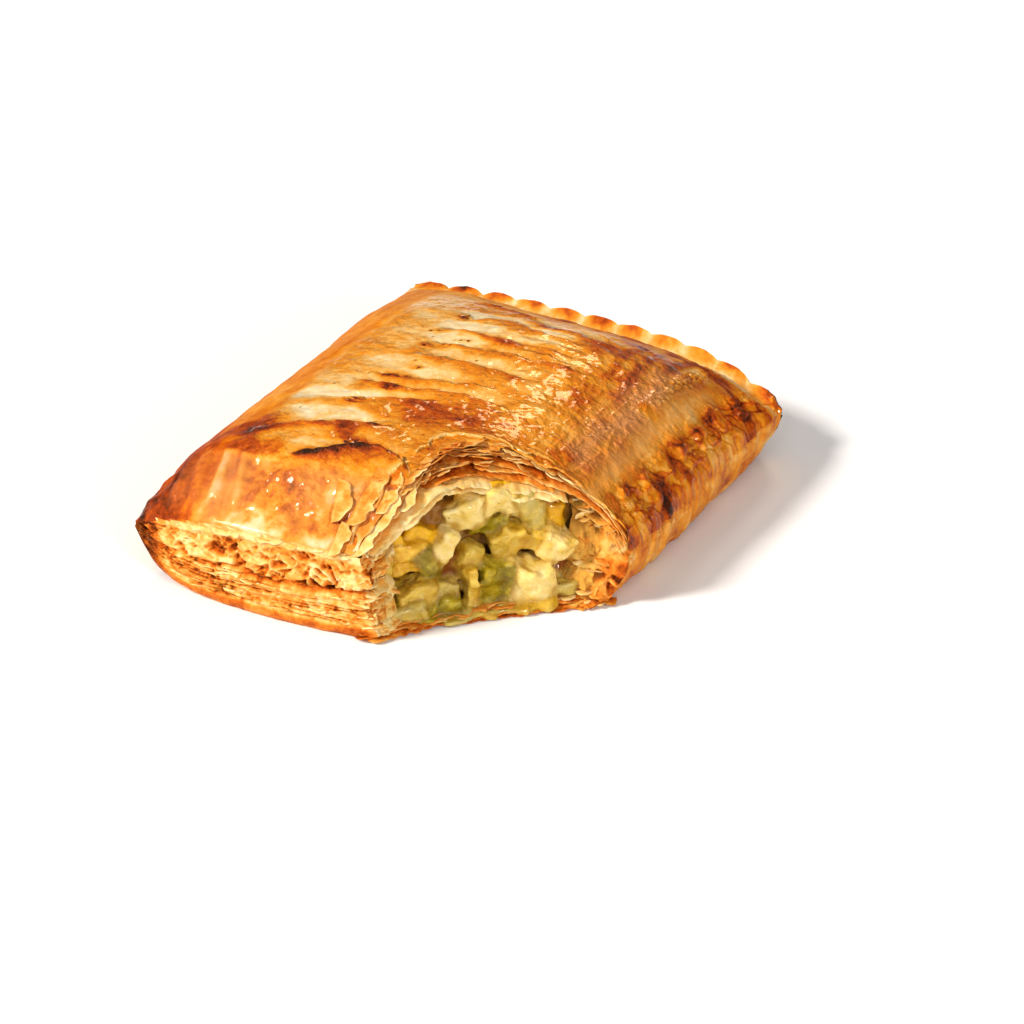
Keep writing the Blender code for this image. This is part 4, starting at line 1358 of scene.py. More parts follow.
# %% The lid's leaves
LID_LEAVES = (  # s from, to, share, ragged, width, below, thickness, lift bell, droop bell, browning, moist
    (-36, 31, 0.95, 0.9, 7, 0.35, 0.30, (-8, 14, 1.0), (0, 9, 0.0), 0.50, 0.0),
    (-34, 4, 0.76, 1.6, 7, 0.85, 0.30, (-12, 10, 1.6), (0, 9, 0.0), 0.42, 0.0),
    (-3, 31, 0.74, 1.0, 7, 0.90, 0.40, (8, 8, 0.5), (0, 9, 0.0), 0.34, 0.0),
    (-14, 14, 0.56, 1.0, 8, 1.50, 0.30, (0, 9, 0.0), (0, 9, 0.0), 0.62, 0.0),
    (-30, -5, 0.48, 1.7, 8, 1.50, 0.30, (-16, 9, 1.4), (0, 9, 0.0), 0.38, 0.0),
    (-2, 30, 0.44, 1.1, 8, 1.80, 0.45, (10, 9, 0.3), (8, 9, 0.5), 0.46, 0.0),
    (-16, 16, 0.28, 1.0, 8, 2.10, 0.30, (-4, 8, 0.6), (4, 9, 1.0), 0.58, 0.0),
    (-34, 19, 0.06, 1.3, 11, 2.60, 1.0, (-18, 9, 0.3), (4, 10, 2.0), 0.20, 0.2),
    (-32, 17, -0.02, 1.3, 13, 3.20, 1.0, (0, 9, 0.0), (4, 11, 2.4), 0.12, 0.3),
)
make_leaves("lid_leaves", [lid_leaf(*numbers, seed=410 + 20 * k) for k, numbers in enumerate(LID_LEAVES)])

# %% [markdown]
# ## Flakes
# Where the lid bent before it broke, its outer leaves split into tongues that stand up and curl. The large
# ones are listed one by one; small ones are strewn along the edge of the skin.

# %% Flakes on the lid
def lid_flake(s, d, length, width, turn, height, curl, tone, seed, ragged=1.0):
    """A flake on the crust at (s, d), its free side towards the tear; `turn` is its angle from the tear."""
    place, out = on_crust(np.array(s, float), np.array(d, float))
    c, k = math.cos(math.radians(turn)), math.sin(math.radians(turn))
    ahead, _ = on_crust(np.array(s - 2 * c), np.array(d - 2 * k))
    along = ahead - place
    along = unit(along - out * (along @ out))
    return flake(
        place + out * height, out, along, length, width, curl, tone, seed, columns=30, rows=6, ragged=ragged
    )


BIG_FLAKES = (  # s, d, length, width, turn, height, curl, browning
    (-3.0, 21.3, 12.0, 4.8, 6, 0.1, 0.8, 0.42),
    (-8.5, 19.5, 9.0, 4.6, 24, 0.0, 1.0, 0.46),
    (-1.0, 18.0, 9.5, 3.8, -6, -0.7, 0.9, 0.38),
    (3.0, 20.4, 8.0, 2.6, -16, 0.1, 0.6, 0.40),
    (-12.5, 16.0, 9.0, 4.6, 36, 0.0, 1.1, 0.44),
    (-7.0, 15.0, 8.0, 3.4, 10, -1.2, 1.0, 0.34),
    (8.5, 16.4, 7.5, 2.2, -32, 0.0, 0.5, 0.44),
    (14.0, 12.4, 7.0, 2.2, -36, 0.0, 0.6, 0.36),
    (18.5, 9.6, 5.0, 2.8, -38, 0.2, 1.3, 0.14),
    (16.0, 10.4, 5.0, 2.4, -30, -0.3, 1.0, 0.20),
    (23.5, 7.0, 6.0, 2.0, -42, 0.0, 0.6, 0.40),
)
PETALS = (  # large leaves that lie on the front slope beside the tear, in the same terms
    (-29.0, 12.5, 16.0, 5.6, 40, 0.25, 0.22, 0.46),
    (-22.5, 17.2, 10.0, 4.2, 30, 0.20, 0.28, 0.46),
    (-35.0, 14.5, 11.0, 5.0, 64, 0.30, 0.20, 0.40),
    (-37.0, 7.0, 9.0, 4.4, 46, 0.25, 0.26, 0.34),
    (-24.0, 11.0, 12.0, 4.4, 48, 0.10, 0.40, 0.38),
    (-17.0, 13.6, 11.0, 4.4, 36, 0.0, 0.60, 0.40),
    (-25.5, 7.0, 11.0, 4.0, 40, 0.0, 0.50, 0.30),
    (-31.0, 3.6, 9.0, 3.4, 34, 0.0, 0.50, 0.26),
    (-20.0, 8.2, 8.0, 3.0, 48, -0.9, 0.60, 0.24),
)
strew = np.random.default_rng(17)
small_flakes = []
for k in range(22):
    s = strew.uniform(-15, 14)
    skin, lip = line_at(s, SKIN_LINE), line_at(s, LIP_LINE)
    part_way = strew.uniform(0.45, 1.05)
    slope = (line_at(s + 1, SKIN_LINE) - skin) * 50      # degrees, for gentle slopes
    size = strew.uniform(0.4, 1.2) * (1.0 if s < 6 else 0.7)
    small_flakes.append((
        s, lip + (skin - lip) * part_way + 1.0, 6.5 * size, 3.0 * size, slope + strew.uniform(-28, 28),
        -2.4 * (1 - min(part_way, 1.0)) + 0.1, strew.uniform(0.5, 1.3), strew.uniform(0.26, 0.54),
    ))
flakes = [lid_flake(*numbers, seed=900 + 10 * k) for k, numbers in enumerate((*BIG_FLAKES, *small_flakes))]
flakes += [lid_flake(*numbers, seed=1700 + 10 * k, ragged=0.5) for k, numbers in enumerate(PETALS)]
make_leaves("lid_flakes", flakes)

# %% [markdown]
# ## The torn walls and the base's edge
# At each end of the tear the side walls are broken through. Their faces are the same leaves as the cut
# ends, but ripped, so they are rougher, moist and pale inside, and brown only at the crust.

# %% Torn walls
def torn_wall(name, start, direction, depth, turn_in, lean, seed, tone, damp):
    """
    A wall that runs from the torn edge of a side, `start`, into the loaf: a point moves by `depth` mm
    along the tear in `direction`, and inwards by turn_in w^2 + lean z / 20. It's rough, like leaves on edge.
    """
    w = np.linspace(0, 1, 70)[:, None]
    plain = start[None].repeat(len(w), axis=0)
    along, inward = np.append(TEAR_ALONG, 0), np.append(TEAR_INWARD, 0)
    l = w * depth + 0 * plain[..., 2]
    roof = plain[:, :1] + direction * along * l[:, :1, None] + inward * (turn_in * w**2 + lean)[..., None]
    ceiling = np.maximum(on_crust(*to_tear(roof[..., 0], roof[..., 1]))[0][..., 2] - 1.6, plain[:, :1, 2])
    ceiling = plain[:, :1, 2] + (ceiling - plain[:, :1, 2]) * smooth(l[:, :1] / 3)
    plain[..., 2] *= ceiling / plain[:, :1, 2]
    z = plain[..., 2]
    p = flat3(l, z, seed)
    bubbles, _ = pores(l, z * 0.8, 2.8, seed + 10)
    out, slit = leaves_on_edge(l + seed, z, 1.6, seed)
    relief = 0.4 * out - 0.5 * slit - 1.6 * bubbles
    relief += 1.6 * noise(p, 3.8, seed + 11) + 0.7 * fractal(p, 1.8, 3, seed + 12)
    relief = relief * smooth(l / 1.2)
    back = turn_in * w**2 + lean * (z / 20) * smooth(l / 3) - relief
    points = plain + direction * along * l[..., None] + inward * back[..., None]
    points[..., 2] += smooth(l / 2) * 0.6 * noise(p, 3, seed + 13)
    points[..., 2] = np.maximum(points[..., 2], 0.05)
    # The wall's pores and slits are painted darker as shade.
    bake_and_shade = tone - 0.10 + 0.40 * bubbles + 0.24 * slit + 0.26 * fractal(p, 4, 3, seed + 14)
    bake_and_shade += 0.22 * np.exp(-l / 1.2)
    faces = facing(quads(*points.shape[:2]), (grid_normals(points) @ -inward).mean())
    make_piece(name, points, faces, torn_dough, **baked(bake_and_shade, 0.5, damp * smooth(2 * w - 0.2)))
    return points


def resampled(curve, count):
    """A curve's points at `count` even steps from its start to its end."""
    old, new = np.linspace(0, 1, len(curve)), np.linspace(0, 1, count)
    return np.stack([np.interp(new, old, curve[:, k]) for k in range(3)], axis=1)


left_start = front_points[-1, end_share <= 1]
left_wall = torn_wall(
    "torn_wall_left", left_start, 1, depth=7.0, turn_in=3.5, lean=1.5, seed=600, tone=0.16, damp=0.4
)
right_start = resampled(side_points[0], 80)
right_wall = torn_wall(
    "torn_wall_right", right_start, -1, depth=10.5, turn_in=5.5, lean=5.0, seed=640, tone=0.50, damp=0.6
)

# %% [markdown]
# Ripped leaves end in small flakes that stand out like shelves. They are strewn by a seeded random
# generator over the grids of the two walls and of the cut front end, and a few lie at the lower corners.

# %% Flakes on the walls and along the cut
def shelf(place, along, free, length, width, curl, tone, seed, moist=0.0):
    """A small flake that is fixed along `along` and whose free side points to `free`, like a shelf."""
    along = unit(along)
    free = unit(free - along * (along @ free))
    return flake(
        place, np.cross(along, free), along, length, width, curl, tone, seed,
        thickness=0.30, moist=moist, columns=18, rows=4, ragged=0.6,
    )


def grown_flakes(grid, out, along, rows, columns, count, lengths, widths, tones, spread, moist=0.0):
    """Flakes at random places of a wall's grid. `spread` mixes chance into the way each one points."""
    made = []
    for _ in range(count):
        place = grid[strew.integers(*rows), strew.integers(*columns)]
        free = out + spread * strew.normal(size=3)
        turned = along + 0.6 * spread * strew.normal(size=3)
        made.append(shelf(
            place - unit(free) * 0.6, turned, free, strew.uniform(*lengths), strew.uniform(*widths),
            strew.uniform(-0.5, 0.5), strew.uniform(*tones), int(strew.integers(1, 99999)), moist,
        ))
    return made


CORNER_FLAKES = (  # s, d, z, length, width, browning of flakes left at the two lower corners
    (-31.0, 2.0, 0.5, 6.0, 3.2, 0.62),
    (-28.5, 1.6, 0.9, 7.0, 3.6, 0.50),
    (-30.5, 2.6, 2.0, 6.0, 3.0, 0.42),
    (-27.0, 2.0, 2.2, 6.0, 3.2, 0.30),
    (-24.0, 2.4, 1.0, 7.0, 3.4, 0.55),
    (-25.5, 2.8, 3.4, 5.0, 2.6, 0.22),
    (-20.5, 2.8, 0.8, 7.0, 3.2, 0.46),
    (19.0, 2.4, 0.8, 6.0, 3.0, 0.46),
    (23.0, 2.2, 1.6, 6.0, 2.8, 0.34),
    (26.0, 2.0, 0.8, 5.0, 2.6, 0.52),
    (21.0, 3.4, 3.4, 4.5, 2.4, 0.14),
    (17.0, 3.4, 2.4, 4.0, 2.2, 0.18),
)
away, along_tear = np.append(-TEAR_INWARD, 0.0), np.append(TEAR_ALONG, 0.0)
wall_flakes = grown_flakes(
    left_wall, away, along_tear, rows=(2, 60), columns=(6, 94), count=22,
    lengths=(2, 5), widths=(1.0, 2.2), tones=(0.04, 0.50), spread=0.6,
)
wall_flakes += grown_flakes(
    right_wall, away, along_tear, rows=(14, 60), columns=(10, 56), count=14,
    lengths=(3, 6), widths=(1.4, 2.4), tones=(0.05, 0.50), spread=0.5, moist=0.2,
)
for s, d, z, length, width, tone in CORNER_FLAKES:
    place = np.array([*from_tear(s, d), z])
    free = away + np.array([0, 0, strew.uniform(-0.15, 0.25)]) + 0.3 * strew.normal(size=3) * [1, 1, 0]
    seed = int(strew.integers(1, 99999))
    wall_flakes.append(shelf(place, along_tear, free, length, width, 0.25, tone, seed))
make_leaves("wall_flakes", wall_flakes)

down, outward, lengthwise = np.array([[0, -0.3, -1.0], [0.0, -1.0, -0.25], [1.0, 0.0, 0.0]])
last = len(front_points) - 6        # keeps the flakes off the grid's last rows, beside the tear
cut_flakes = grown_flakes(
    front_points, down, lengthwise, rows=(36, last - 16), columns=(0, 4), count=36,
    lengths=(3, 7), widths=(0.9, 1.7), tones=(0.08, 0.28), spread=0.08,
)
cut_flakes += grown_flakes(
    front_points, outward, lengthwise, rows=(40, last), columns=(54, 92), count=30,
    lengths=(3, 8), widths=(0.7, 1.2), tones=(0.08, 0.50), spread=0.12,
)
make_leaves("cut_flakes", cut_flakes)

# %% [markdown]
# The base tore least far back. Five thin leaves lie flat over each other there, each with its own ragged
# edge, and the lowest is the browned skin that lay on the tray.

# %% Leaves of the base
BASE_FROM, BASE_TO = -33.0, 32.5        # where the torn base starts and ends along the tear


def base_leaf(height, thickness, line_shift, width, tone, seed, ragged=0.8):
    """A leaf of the base: flat, at `height` above the tray, with its own ragged edge."""
    columns = int((BASE_TO - BASE_FROM) * LEAF_COLUMNS)
    s, u = np.meshgrid(np.linspace(BASE_FROM, BASE_TO, columns), np.linspace(0, 1, 10), indexing="ij")
    q = width * u**1.5
    outline = np.interp(s, outline_s, outline_d) + 0.3
    d = np.maximum(torn(s, BASE_LINE, seed, ragged, 0.9 * ragged) + line_shift, outline) + q
    x, y = from_tear(s, d)
    p = flat3(s, d, seed)
    z = height + 0.25 * noise(p, 3, seed + 3) + 0.8 * np.exp(-q / 1.2) * noise(flat3(s, seed), 3.0, seed + 4)
    centre = flat3(x, y, np.maximum(z, thickness / 2 + 0.02))
    thick = thickness * rounded(q) * end_taper(columns, 0.03)[:, None]
    points, faces = leaf(centre, np.broadcast_to([0.0, 0.0, 1.0], centre.shape), thick)
    # The ragged edge is painted paler as a highlight.
    bake_and_shade = tone + 0.14 * fractal(p, 4, 2, seed + 5) - 0.12 * np.exp(-q / 0.5)
    return points, faces, {"bake_and_shade": both_sides(bake_and_shade, bake_and_shade), "glaze": 0.5, "dusty": 0.0}


make_leaves("base_leaves", [        # height, thickness, shift of the edge, width, browning, seed
    base_leaf(0.28, 0.5, -0.4, 12, 0.78, 700),
    base_leaf(0.75, 0.35, -0.1, 12, 0.60, 710),
    base_leaf(1.20, 0.35, 0.3, 12, 0.50, 720, ragged=1.0),
    base_leaf(1.60, 0.35, 0.9, 12, 0.62, 730, ragged=1.1),
    base_leaf(2.00, 0.40, 1.4, 12, 0.48, 740, ragged=1.2),
])

# %% [markdown]
# ## The filling
# Diced potato and rings of leek in a thick, pale sauce. Each piece is a rounded box, written as a distance
# field: how far any point is from its surface. A soft minimum of all the fields joins the pieces with
# fillets, as sauce does. A surface net then turns the zero level of that one field into a mesh.

# %% What lies in the torn face
CHUNKS = (  # s, depth of its middle, z, half sizes along s, d and z, lean in degrees, kind
    (-21.5, 11.0, 16.0, 4.6, 4.0, 4.2, 10, "yellow"),
    (-15.6, 10.3, 13.0, 2.6, 3.2, 4.8, -28, "leek"),
    (-18.5, 9.6, 6.8, 4.6, 3.8, 2.9, -6, "sauce"),
    (-11.8, 9.6, 17.0, 2.7, 2.8, 5.4, 24, "potato"),
    (-6.4, 12.2, 23.6, 4.4, 3.6, 3.5, -12, "potato"),
    (-0.2, 12.5, 19.4, 4.2, 3.2, 2.6, 8, "leek"),
    (3.0, 13.2, 25.2, 4.6, 4.2, 3.4, 4, "potato"),
    (9.8, 12.6, 22.6, 3.5, 3.8, 5.4, -16, "green"),
    (4.6, 10.6, 16.0, 4.6, 3.2, 3.2, -20, "sauce"),
    (10.6, 10.6, 15.6, 4.0, 3.2, 2.4, 12, "sauce"),
    (15.6, 10.6, 13.0, 4.2, 3.6, 4.0, 32, "potato"),
    (0.4, 8.8, 6.8, 3.5, 3.2, 5.6, 10, "leek"),
    (-4.6, 8.3, 6.0, 1.5, 2.6, 6.0, -10, "sauce"),
    (-4.0, 10.0, 13.4, 3.0, 2.8, 2.6, 20, "sauce"),
    (9.4, 9.2, 5.6, 5.2, 4.2, 5.0, 8, "potato"),
    (5.0, 9.4, 9.4, 2.6, 3.0, 2.6, 30, "potato"),
    (-12.5, 9.2, 7.8, 4.6, 3.0, 1.1, 14, "green"),
    (-12.0, 8.6, 4.2, 4.6, 3.2, 1.4, -8, "leek"),
    (-20.6, 8.0, 3.4, 4.6, 3.4, 2.2, -8, "green"),
    (2.4, 15.5, 28.6, 10.0, 4.0, 1.6, 0, "ochre"),
    (-15.5, 12.6, 20.6, 4.6, 3.6, 2.2, 26, "ochre"),
    (15.5, 13.5, 19.0, 3.0, 3.0, 4.0, 0, "ochre"),
    (-3.0, 7.2, 1.4, 9.5, 4.4, 0.9, 2, "green"),
    (8.5, 7.4, 1.4, 6.5, 4.0, 0.9, -2, "sauce"),
    (-14.5, 7.4, 1.8, 4.5, 3.4, 0.8, 0, "leek"),
    (5.2, 5.0, 0.9, 1.1, 2.6, 0.8, 0, "sauce"),
    (-1.6, 4.8, 0.9, 0.9, 2.6, 0.7, 0, "sauce"),
    # The back slab is sauce mixed with dark brown as painted shade.
    (-2.0, 16.4, 15.0, 24.0, 3.0, 12.0, 0, "back"),
    (-25.6, 11.8, 18.6, 5.6, 4.0, 4.4, -24, "ochre"),
    (-27.6, 10.4, 10.6, 3.6, 4.0, 7.4, 0, "sauce"),
    (16.5, 9.0, 3.4, 3.4, 3.4, 2.2, 0, "green"),
    # The three dark chunks are dark pieces set in the gaps as painted shade.
    (-9.0, 12.4, 9.5, 4.0, 2.5, 5.0, 0, "dark"),
    (17.5, 12.4, 9.0, 3.0, 2.5, 5.0, 0, "dark"),
    (13.5, 13.4, 24.0, 2.5, 2.5, 2.5, 0, "dark"),
)
KINDS = ("potato", "sauce", "yellow", "green", "leek", "ochre", "dark", "back")
print(len(CHUNKS), "chunks of filling show at the tear")

# %% [markdown]
# Distance fields are easy to bend and to join. Noise bends the points, so that no chunk has a straight side,
# and lumps on its distance make each chunk's skin uneven.

# %% Distance fields of the chunks
def chunk_fields(p):
    """
    Distances in mm from points (s, d, z) to each chunk: |turned p - centre| less the half sizes, with the
    corners rounded by two fifths of the smallest side. The points are bent by smooth noise first, so that no
    chunk has a straight side.
    """
    lumps = 0.50 * noise(p, 3.4, 801) + 0.22 * noise(p, 1.6, 802) + 0.08 * noise(p, 0.8, 803)
    bends = [1.1 * noise(p, 6.5, 811 + k) + 0.55 * noise(p, 2.6, 821 + k) for k in range(3)]
    p = p + np.stack(bends, axis=-1)
    fields = []
    for s, d, z, hs, hd, hz, lean, _ in CHUNKS:
        c, k = math.cos(math.radians(lean)), math.sin(math.radians(lean))
        ds, dd, dz = p[..., 0] - s, p[..., 1] - d + 1.8 * max(0.0, 1 - z / 20), p[..., 2] - z
        local = np.stack([ds * c - dz * k, dd + 0.15 * dz, ds * k + dz * c], axis=-1)
        radius = 0.40 * min(hs, hd, hz)
        q = np.abs(local) - (np.array([hs, hd, hz]) - radius)
        outside = np.linalg.norm(np.maximum(q, 0), axis=-1) + np.minimum(q.max(axis=-1), 0)
        fields.append(outside - radius + 0.10 + lumps)
    return np.stack(fields, axis=-1)


def filling_field(p):
    """Soft minimum of the chunks: -k log of the sum of e^(-distance / k), kept off the floor and the lid."""
    fields = chunk_fields(p)
    joined = -0.55 * np.log(np.exp(-np.clip(fields, -8, 8) / 0.55).sum(axis=-1))
    return np.maximum(joined, 0.35 - p[..., 2])

# %% [markdown]
# A surface net is the simplest way from a field to a mesh of quads: one point in each grid cell that the
# surface crosses, and one quad round each grid edge that it crosses.

# %% Surface net
def surface_net(values, low, step):
    """
    The zero level of a field on a grid, as points and quads: one point in each cell the surface crosses,
    at the mean of the crossings on its edges, and one quad round each crossed edge of the grid.
    """
    shape = np.array(values.shape) - 1
    steps = np.eye(3, dtype=int)
    total, count = np.zeros((*shape, 3)), np.zeros(shape)

    def cut(offset):
        """The grid without its last layer on each axis, moved by the offset."""
        return values[tuple(slice(o, o + n) for o, n in zip(offset, shape))]

    for axis in range(3):
        for other in np.ndindex(2, 2):
            offset = np.insert(other, axis, 0)
            first, last = cut(offset), cut(offset + steps[axis])
            crossed = (first < 0) != (last < 0)
            t = np.where(crossed, first / np.where(crossed, first - last, 1), 0)
            where = offset + t[..., None] * steps[axis]
            total += np.where(crossed[..., None], where, 0)
            count += crossed
    used = count > 0
    index = np.full(tuple(shape), -1)
    index[used] = np.arange(used.sum())
    points = np.argwhere(used) + total[used] / count[used][:, None]
    faces = []
    inside = values < 0
    for axis in range(3):
        u, v = (axis + 1) % 3, (axis + 2) % 3
        ends = [slice(1, -1)] * 3
        ends[axis] = slice(0, -1)
        here = inside[tuple(ends)]
        ends[axis] = slice(1, None)
        there = inside[tuple(ends)]
        corner_cells = np.argwhere(here != there) + 1 - steps[axis]
        around = [corner_cells - i * steps[u] - j * steps[v] for i, j in ((1, 1), (0, 1), (0, 0), (1, 0))]
        quad = np.stack([index[tuple(cell.T)] for cell in around], axis=-1)
        leaving = here[here != there]
        faces.append(np.where(leaving[:, None], quad, quad[:, ::-1]))
    return low + points * step, np.concatenate(faces)

# %% [markdown]
# The field is worked out on a grid of 0.42 mm cells that fills the tear. Each point of the net then takes two
# steps along the field's slope, onto the exact surface. Its colours come from the chunks nearest to it, and
# from the creases, where two chunks are about equally near: sauce gathers there, and ochre and dark brown
# are painted in as shade.

# %% The torn face of the filling
NET_CELL = 0.42
NET_LOW, NET_HIGH = np.array([-32.2, 0.2, 0.0]), np.array([22.0, 20.0, 31.5])
axes = [np.arange(NET_LOW[k], NET_HIGH[k], NET_CELL) for k in range(3)]
cube = np.stack(np.meshgrid(*axes, indexing="ij"), axis=-1)
field = filling_field(cube)
field[[0, -1]] = field[:, [0, -1]] = field[:, :, [0, -1]] = 1.0
net, net_faces = surface_net(field, NET_LOW, NET_CELL)
for _ in range(2):
    value = filling_field(net)
    slope = np.stack([filling_field(net + 0.1 * axis) - value for axis in np.eye(3)], axis=-1) / 0.1
    net = net - slope * np.clip(value / np.maximum((slope**2).sum(axis=-1), 0.2), -0.3, 0.3)[:, None]
apart = chunk_fields(net)
crease = bump(np.sort(apart, axis=-1)[:, 1] / 1.1)
weights = np.exp(-np.clip(apart, -1, 8) / 0.35)
weights = weights / weights.sum(axis=-1, keepdims=True)
kinds = np.array([KINDS.index(chunk[-1]) for chunk in CHUNKS])
share_of = {kind: weights[:, kinds == k].sum(axis=-1) for k, kind in enumerate(KINDS)}
x, y = from_tear(net[:, 0], net[:, 1])
# Painted shade: creases turn ochre and dark, and the dark chunks and the back slab are dark; sauce also
# gathers in creases.
net_looks = {
    "greens": share_of["green"] * 0.5 + share_of["leek"],
    "sauce": np.clip(share_of["sauce"] + 0.6 * share_of["back"] + 0.3 * crease, 0, 1),
    "ochre": np.clip(share_of["ochre"] + 0.8 * share_of["yellow"] + 0.5 * crease**2, 0, 1),
    "dark": share_of["dark"] + 0.75 * share_of["back"] + 0.50 * crease**3 * (1 - share_of["dark"]),
}

# %% [markdown]
# The sauce is starch-thickened milk: wet, so it's glossy (IOR 1.38, roughness 0.3 to 0.5), and cloudy, so
# light scatters a millimetre or two inside. Boiled potato is much the same. Leek is clearer and olive-green.

# %% Filling material
def vegetables(name):
    """Potato, sauce, leek and ochre juices, and a dark brown of painted shade, mixed by the attributes, under
    one wet gloss.
    """
    material, tree, shader = start_material(
        name,
        IOR=1.38,
        Specular_IOR_Level=0.35,
        Coat_Weight=0.55,
        Coat_Roughness=0.07,
        Subsurface_Weight=0.3,
        Subsurface_Scale=0.0020,
        Subsurface_Radius=(1.0, 0.75, 0.35),
    )
    place = add(tree, "ShaderNodeTexCoord").outputs["Object"]
    greens, sauce, ochre, dark = (
        add(tree, "ShaderNodeAttribute", {"attribute_name": key}).outputs["Fac"]
        for key in ("greens", "sauce", "ochre", "dark")
    )
    cloud = add(tree, "ShaderNodeTexNoise", Vector=place, Scale=per_mm(3.0), Detail=3.0).outputs["Fac"]
    grain = add(tree, "ShaderNodeTexNoise", Vector=place, Scale=per_mm(0.8), Detail=2.0).outputs["Fac"]
    potato = ramp(tree, cloud, ((0.3, "E0C05C"), (0.7, "F0DCA0")))
    sauced = ramp(tree, cloud, ((0.3, "C49A1C"), (0.7, "E0C462")))
    fibre = add(
        tree, "ShaderNodeTexNoise", Vector=place, Scale=per_mm(3.2), Detail=2.0, Distortion=0.8
    ).outputs["Fac"]
    leek = ramp(tree, fibre, ((0.3, "7C6604"), (0.5, "9A860A"), (0.7, "C2AC34")))
    juice = ramp(tree, cloud, ((0.3, "D09A06"), (0.7, "F0C22A")))
    mix = {"data_type": "RGBA"}
    colour = add(tree, "ShaderNodeMix", mix, i0=sauce, i6=potato, i7=sauced).outputs[2]
    colour = add(tree, "ShaderNodeMix", mix, i0=ochre, i6=colour, i7=juice).outputs[2]
    colour = add(tree, "ShaderNodeMix", mix, i0=greens, i6=colour, i7=leek).outputs[2]
    # The dark attribute mixes in dark brown as painted shade.
    colour = add(tree, "ShaderNodeMix", mix, i0=dark, i6=colour, i7=linear("8A4A00")).outputs[2]
    pepper = add(tree, "ShaderNodeTexVoronoi", Vector=place, Scale=per_mm(3.2)).outputs["Distance"]
    dot = add(tree, "ShaderNodeMath", {"operation": "LESS_THAN"}, i0=pepper, i1=0.055).outputs[0]
    colour = add(tree, "ShaderNodeMix", mix, i0=dot, i6=colour, i7=linear("4A3A12")).outputs[2]
    tree.links.new(colour, shader.inputs["Base Color"])
    rough = add(tree, "ShaderNodeMapRange", Value=grain, To_Min=0.28, To_Max=0.5).outputs[0]
    tree.links.new(rough, shader.inputs["Roughness"])
    bumps = add(
        tree, "ShaderNodeTexNoise", Vector=place, Scale=per_mm(1.8), Detail=3.0, Roughness=0.5
    ).outputs["Fac"]
    relief = add(tree, "ShaderNodeBump", Height=bumps, Strength=0.9, Distance=0.0008).outputs[0]
    tree.links.new(relief, shader.inputs["Normal"])
    return material


saucy_vegetables = vegetables("saucy_vegetables")
make_piece("diced_filling", flat3(x, y, net[:, 2]), net_faces, saucy_vegetables, slot="filling", **net_looks)

# %% [markdown]
# Behind the torn face the filling isn't seen. A plain core, a little smaller than the real filling, keeps the
# loaf from being hollow and gives the gaps between the dice a ground painted dark brown as shade.

# %% Filling core
def core_surface(a, b, sign):
    """Upper (1) or lower (-1) side of the core: a box with superellipse shoulders inside the crust."""
    rise = np.ones_like(a)
    for reach in from_sides(a, b).values():
        rise = rise * shoulder(reach, 13, 2.0)
    x, y = plan(0.80 * a, 0.82 * b - 0.02)
    crust = plain_crust(0.80 * a, 0.82 * b - 0.02)[..., 2]
    z = 10 + (crust - 6.0 - 10) * rise if sign > 0 else 10 - 6.2 * rise
    core_line = ((-40, 6), (-28, 12), (-10, 15), (10, 15), (24, 12), (34, 6))
    x, y, _ = tear_away(x, y, core_s, core_d, core_line, 33, 14.0)
    return flat3(x, y, z)


core_count = 90
core_t = np.linspace(-1, 1, core_count)
core_corner = [
    np.concatenate(pair)
    for pair in zip(plan(0.80 * cut_a, -0.84 + 0 * cut_a), plan(0.80 + 0 * cut_b, 0.82 * cut_b - 0.02))
]
core_s, core_d = to_tear(*core_corner)
core_a, core_b = np.meshgrid(core_t, core_t, indexing="ij")
core_points = np.stack([core_surface(core_a, core_b, sign) for sign in (1, -1)])
core_half = core_count**2
edge = np.arange(core_half).reshape(core_count, core_count)
loop = np.concatenate([edge[:, 0], edge[-1, 1:], edge[-2::-1, -1], edge[0, -2:0:-1]])
following = np.roll(loop, -1)
rim_faces = np.stack([loop, loop + core_half, following + core_half, following], axis=-1)
upper_faces = quads(core_count, core_count)
core_faces = np.concatenate([upper_faces, facing(upper_faces, -1) + core_half, rim_faces])
ones = np.ones(2 * core_half)
# The core's colour is mostly painted shade: dark at 0.75.
make_piece(
    "filling_core", core_points, core_faces, saucy_vegetables, slot="filling",
    greens=0.3 * ones, sauce=0 * ones, ochre=0.5 * ones, dark=0.75 * ones,
)

# %% [markdown]
# ## Camera, light and floor
# A long lens from about a metre keeps the loaf's sides nearly parallel. One soft key lamp stands to the left,
# well above the floor, and a very broad one fills the shadows from the right. A weak window behind and a
# small lamp low on the right give the glaze its glints.

# %% Camera and lamps
AIM = np.array([0.021715, -0.016516, 0.015])


def stand(azimuth, elevation, distance):
    """A place at that distance from the aim point, by the compass and the height angle in degrees."""
    az, el = math.radians(azimuth), math.radians(elevation)
    level = math.cos(el)
    return AIM + distance * np.array([math.sin(az) * level, -math.cos(az) * level, math.sin(el)])


def look_at_aim(obj, azimuth, elevation):
    """Turns an object so that its -Z points at the aim point: pitch by elevation, then turn by azimuth."""
    obj.rotation_euler = (math.radians(90 - elevation), 0, math.radians(azimuth))


camera = bpy.data.objects.new("camera", bpy.data.cameras.new("camera"))
camera.data.lens, camera.data.sensor_width = 175.8, 36.0
camera.data.clip_start, camera.data.clip_end = 0.05, 20.0
CAMERA_AZIMUTH, CAMERA_ELEVATION, CAMERA_DISTANCE = 29.7, 30.5, 1.162
camera.location = stand(CAMERA_AZIMUTH, CAMERA_ELEVATION, CAMERA_DISTANCE)
look_at_aim(camera, CAMERA_AZIMUTH, CAMERA_ELEVATION)
bpy.context.scene.collection.objects.link(camera)
bpy.context.scene.camera = camera

